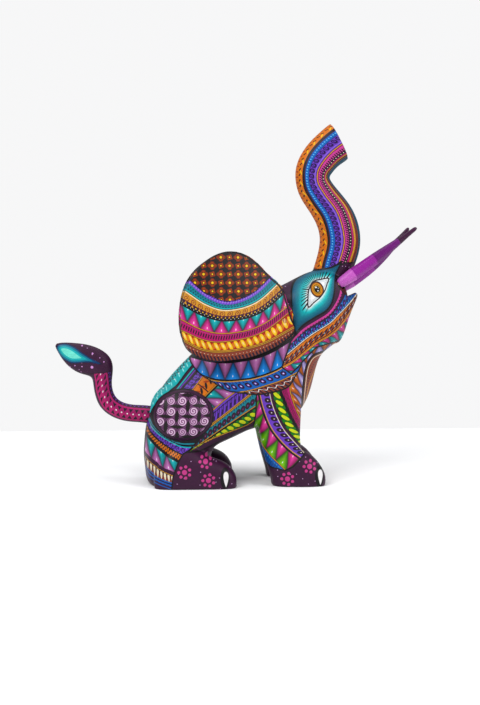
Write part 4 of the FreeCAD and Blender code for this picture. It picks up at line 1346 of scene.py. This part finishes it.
@dataclass
class Tusk:
    """A tapering tusk in painted blocks."""

    side: str
    paint: TuskPaint = field(default_factory=TuskPaint)
    grain: float = 0.5
    flats: int = 6
    flat_turn: float = 0.6
    flat_reach: float = 1.19
    ridge_reach: float = 1.12
    seat_run: float = 8.0
    ease_run: float = 6.0
    slices: int = 24
    sanding: int = 3
    end_points: int = 60

    def build(self) -> bpy.types.Object:
        """Copies, pares and paints the tusk.

        Returns:
            The finished tusk.
        """
        node = f"{self.side}_tusk"
        piece = merged_copy(node, f"{node}_painted")
        remeshed(piece, self.grain * MM, 2)
        points = points_of(piece.data)
        order = np.argsort(points[:, 0])
        root = Vector(points[order[:self.end_points]].mean(0) * MM)
        tip = Vector(points[order[-self.end_points:]].mean(0) * MM)
        self.flatten(piece.data, points, np.array(root) / MM, np.array(tip) / MM)
        piece.data.materials.append(self.paint.material(f"{node}_purple", root, tip))
        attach(piece, f"{node}_body")
        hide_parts(node)
        return piece

    def flatten(self, mesh: bpy.types.Mesh, points: np.ndarray, root: np.ndarray, tip: np.ndarray) -> None:
        """Pares the round tusk to long flats, as a knife leaves them.

        Args:
            mesh: the tusk's mesh, changed in place.
            points: its vertices, in millimetres.
            root: the middle of the tusk's root.
            tip: the middle of its tip.
        """
        along = (tip - root) / np.linalg.norm(tip - root)
        up = np.array((0.0, 0.0, 1.0)) - along * along[2]
        up /= np.linalg.norm(up)
        across = np.cross(along, up)
        off = points - root
        run, height, breadth = off @ along, off @ up, off @ across
        slices = np.array_split(np.argsort(run), self.slices)
        places = [run[part].mean() for part in slices]
        h, b = (line - np.interp(run, places, [(line[part].min() + line[part].max()) / 2 for part in slices])
                for line in (height, breadth))
        turn = np.arctan2(h, b) + math.pi / self.flats * self.flat_turn
        step = 2 * math.pi / self.flats
        local = np.mod(turn, step) - step / 2
        keep = np.minimum(math.cos(step / 2) / np.cos(local) * self.flat_reach, self.ridge_reach)
        ease = np.clip((run - self.seat_run) / self.ease_run, 0, 1)
        keep = 1 + (keep - 1) * ease
        moved = points + np.outer(h * (keep - 1), up) + np.outer(b * (keep - 1), across)
        mesh.vertices.foreach_set("co", (moved * MM).ravel())
        sand(mesh, self.sanding)
        mesh.update()


@dataclass
class Pegs:
    """The bare wooden pegs and tenon, which keep their own shapes."""

    wood: Colour = tint("c79a62")
    dark: Colour = tint("8a5a2c")

    def dress(self) -> list[str]:
        """Gives every peg its wood.

        Returns:
            The names of the pieces dressed.
        """
        material = bpy.data.materials.new("peg_wood_grain")
        material.use_nodes = True
        tree = material.node_tree
        tree.nodes.clear()
        place = tree.nodes.new("ShaderNodeTexCoord")
        rings = tree.nodes.new("ShaderNodeTexWave")
        rings.inputs["Scale"].default_value = 160.0
        rings.inputs["Distortion"].default_value = 5.0
        tree.links.new(place.outputs["Object"], rings.inputs["Vector"])
        ramp = tree.nodes.new("ShaderNodeValToRGB")
        ramp.color_ramp.elements[0].color = self.dark
        ramp.color_ramp.elements[1].color = self.wood
        tree.links.new(rings.outputs["Fac"], ramp.inputs["Fac"])
        shader = tree.nodes.new("ShaderNodeBsdfPrincipled")
        shader.inputs["Roughness"].default_value = 0.68
        tree.links.new(ramp.outputs["Color"], shader.inputs["Base Color"])
        bump = tree.nodes.new("ShaderNodeBump")
        bump.inputs["Distance"].default_value = 0.0001
        tree.links.new(rings.outputs["Fac"], bump.inputs["Height"])
        tree.links.new(bump.outputs["Normal"], shader.inputs["Normal"])
        out = tree.nodes.new("ShaderNodeOutputMaterial")
        tree.links.new(shader.outputs["BSDF"], out.inputs["Surface"])
        dressed = []
        for name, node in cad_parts.items():
            if name.endswith(("_peg", "_tenon")):
                node.data.materials.clear()
                node.data.materials.append(material)
                dressed.append(name)
        return dressed


@dataclass
class Studio:
    """A pale floor, soft lights and the camera."""

    far_edge: float = 0.36
    half_floor: float = 2.4
    aim: tuple[float, float, float] = (0.0, 0.0, 0.12)
    surround: float = 0.5
    lens: float = 60.8
    eye: tuple[float, float, float] = (-0.058, -1.0, 0.1616)
    turn: tuple[float, float, float] = (math.radians(86.95), 0.0, math.radians(-3.56))

    def build(self) -> None:
        """Sets up the whole studio."""
        self.floor()
        self.lights()
        self.camera()

    def floor(self) -> None:
        """Makes the pale floor, which ends a little way behind the figure."""
        mesh = bpy.data.meshes.new("studio_floor")
        shape = bmesh.new()
        bmesh.ops.create_grid(shape, x_segments=2, y_segments=2, size=self.half_floor)
        for v in shape.verts:
            v.co.y = min(v.co.y, self.far_edge)
        bmesh.ops.recalc_face_normals(shape, faces=shape.faces)
        shape.to_mesh(mesh)
        shape.free()
        floor = bpy.data.objects.new("studio_floor", mesh)
        bpy.context.scene.collection.objects.link(floor)
        material = bpy.data.materials.new("studio_paper")
        material.use_nodes = True
        shader = material.node_tree.nodes["Principled BSDF"]
        shader.inputs["Base Color"].default_value = (0.95, 0.95, 0.955, 1)
        shader.inputs["Roughness"].default_value = 0.9
        mesh.materials.append(material)

    def lights(self) -> None:
        """Places three soft boxes and a pale surround, which looks paler than it lights."""
        for name, place, power, size in (("key_box", (-0.9, -1.1, 1.3), 21.0, 0.9),
                                         ("fill_box", (1.1, -0.9, 0.9), 11.0, 0.9),
                                         ("top_box", (0.0, 0.0, 1.6), 9.0, 1.2)):
            lamp = bpy.data.lights.new(name, "AREA")
            lamp.energy, lamp.size = power, size
            holder = bpy.data.objects.new(name, lamp)
            holder.location = place
            holder.rotation_euler = (Vector(self.aim) - Vector(place)).to_track_quat("-Z", "Y").to_euler()
            bpy.context.scene.collection.objects.link(holder)
        world = bpy.data.worlds.new("pale_surround")
        world.use_nodes = True
        tree = world.node_tree
        light = tree.nodes["Background"]
        light.inputs["Color"].default_value = (0.96, 0.98, 1.0, 1)
        light.inputs["Strength"].default_value = self.surround
        seen = tree.nodes.new("ShaderNodeBackground")
        seen.inputs["Color"].default_value = (0.93, 0.93, 0.935, 1)
        chosen = tree.nodes.new("ShaderNodeMixShader")
        tree.links.new(tree.nodes.new("ShaderNodeLightPath").outputs["Is Camera Ray"], chosen.inputs["Fac"])
        tree.links.new(light.outputs[0], chosen.inputs[1])
        tree.links.new(seen.outputs[0], chosen.inputs[2])
        tree.links.new(chosen.outputs[0], tree.nodes["World Output"].inputs["Surface"])
        bpy.context.scene.world = world
        bpy.context.scene.view_settings.view_transform = "Standard"

    def camera(self) -> None:
        """Places the camera."""
        data = bpy.data.cameras.new("camera")
        data.lens = self.lens
        data.sensor_width = 36.0
        data.clip_start, data.clip_end = 0.05, 50.0
        camera = bpy.data.objects.new("camera", data)
        camera.location = self.eye
        camera.rotation_euler = self.turn
        bpy.context.scene.collection.objects.link(camera)
        bpy.context.scene.camera = camera


def main() -> None:
    """Builds every sub-assembly in order and reports each piece."""
    logging.basicConfig(level=logging.INFO, format="%(name)s: %(message)s")
    Studio().build()
    carvings = (
        PaintedCarving("body_carving", "block", BODY_REGIONS, grain=1.05),
        PaintedCarving("right_ear", "right_ear_body", EAR_REGIONS, grain=0.9),
        PaintedCarving("left_ear", "left_ear_body", EAR_REGIONS, grain=0.9),
        PaintedCarving("tail", "tail_body", TAIL_REGIONS, grain=0.7),
        Tusk("right"), Tusk("left"),
    )
    for carving in carvings:
        piece = carving.build()
        LOG.info("%s: %d faces", piece.name, len(piece.data.polygons))
    for name in Pegs().dress():
        LOG.info("%s: bare wood", name)


if __name__ == "__main__":
    main()
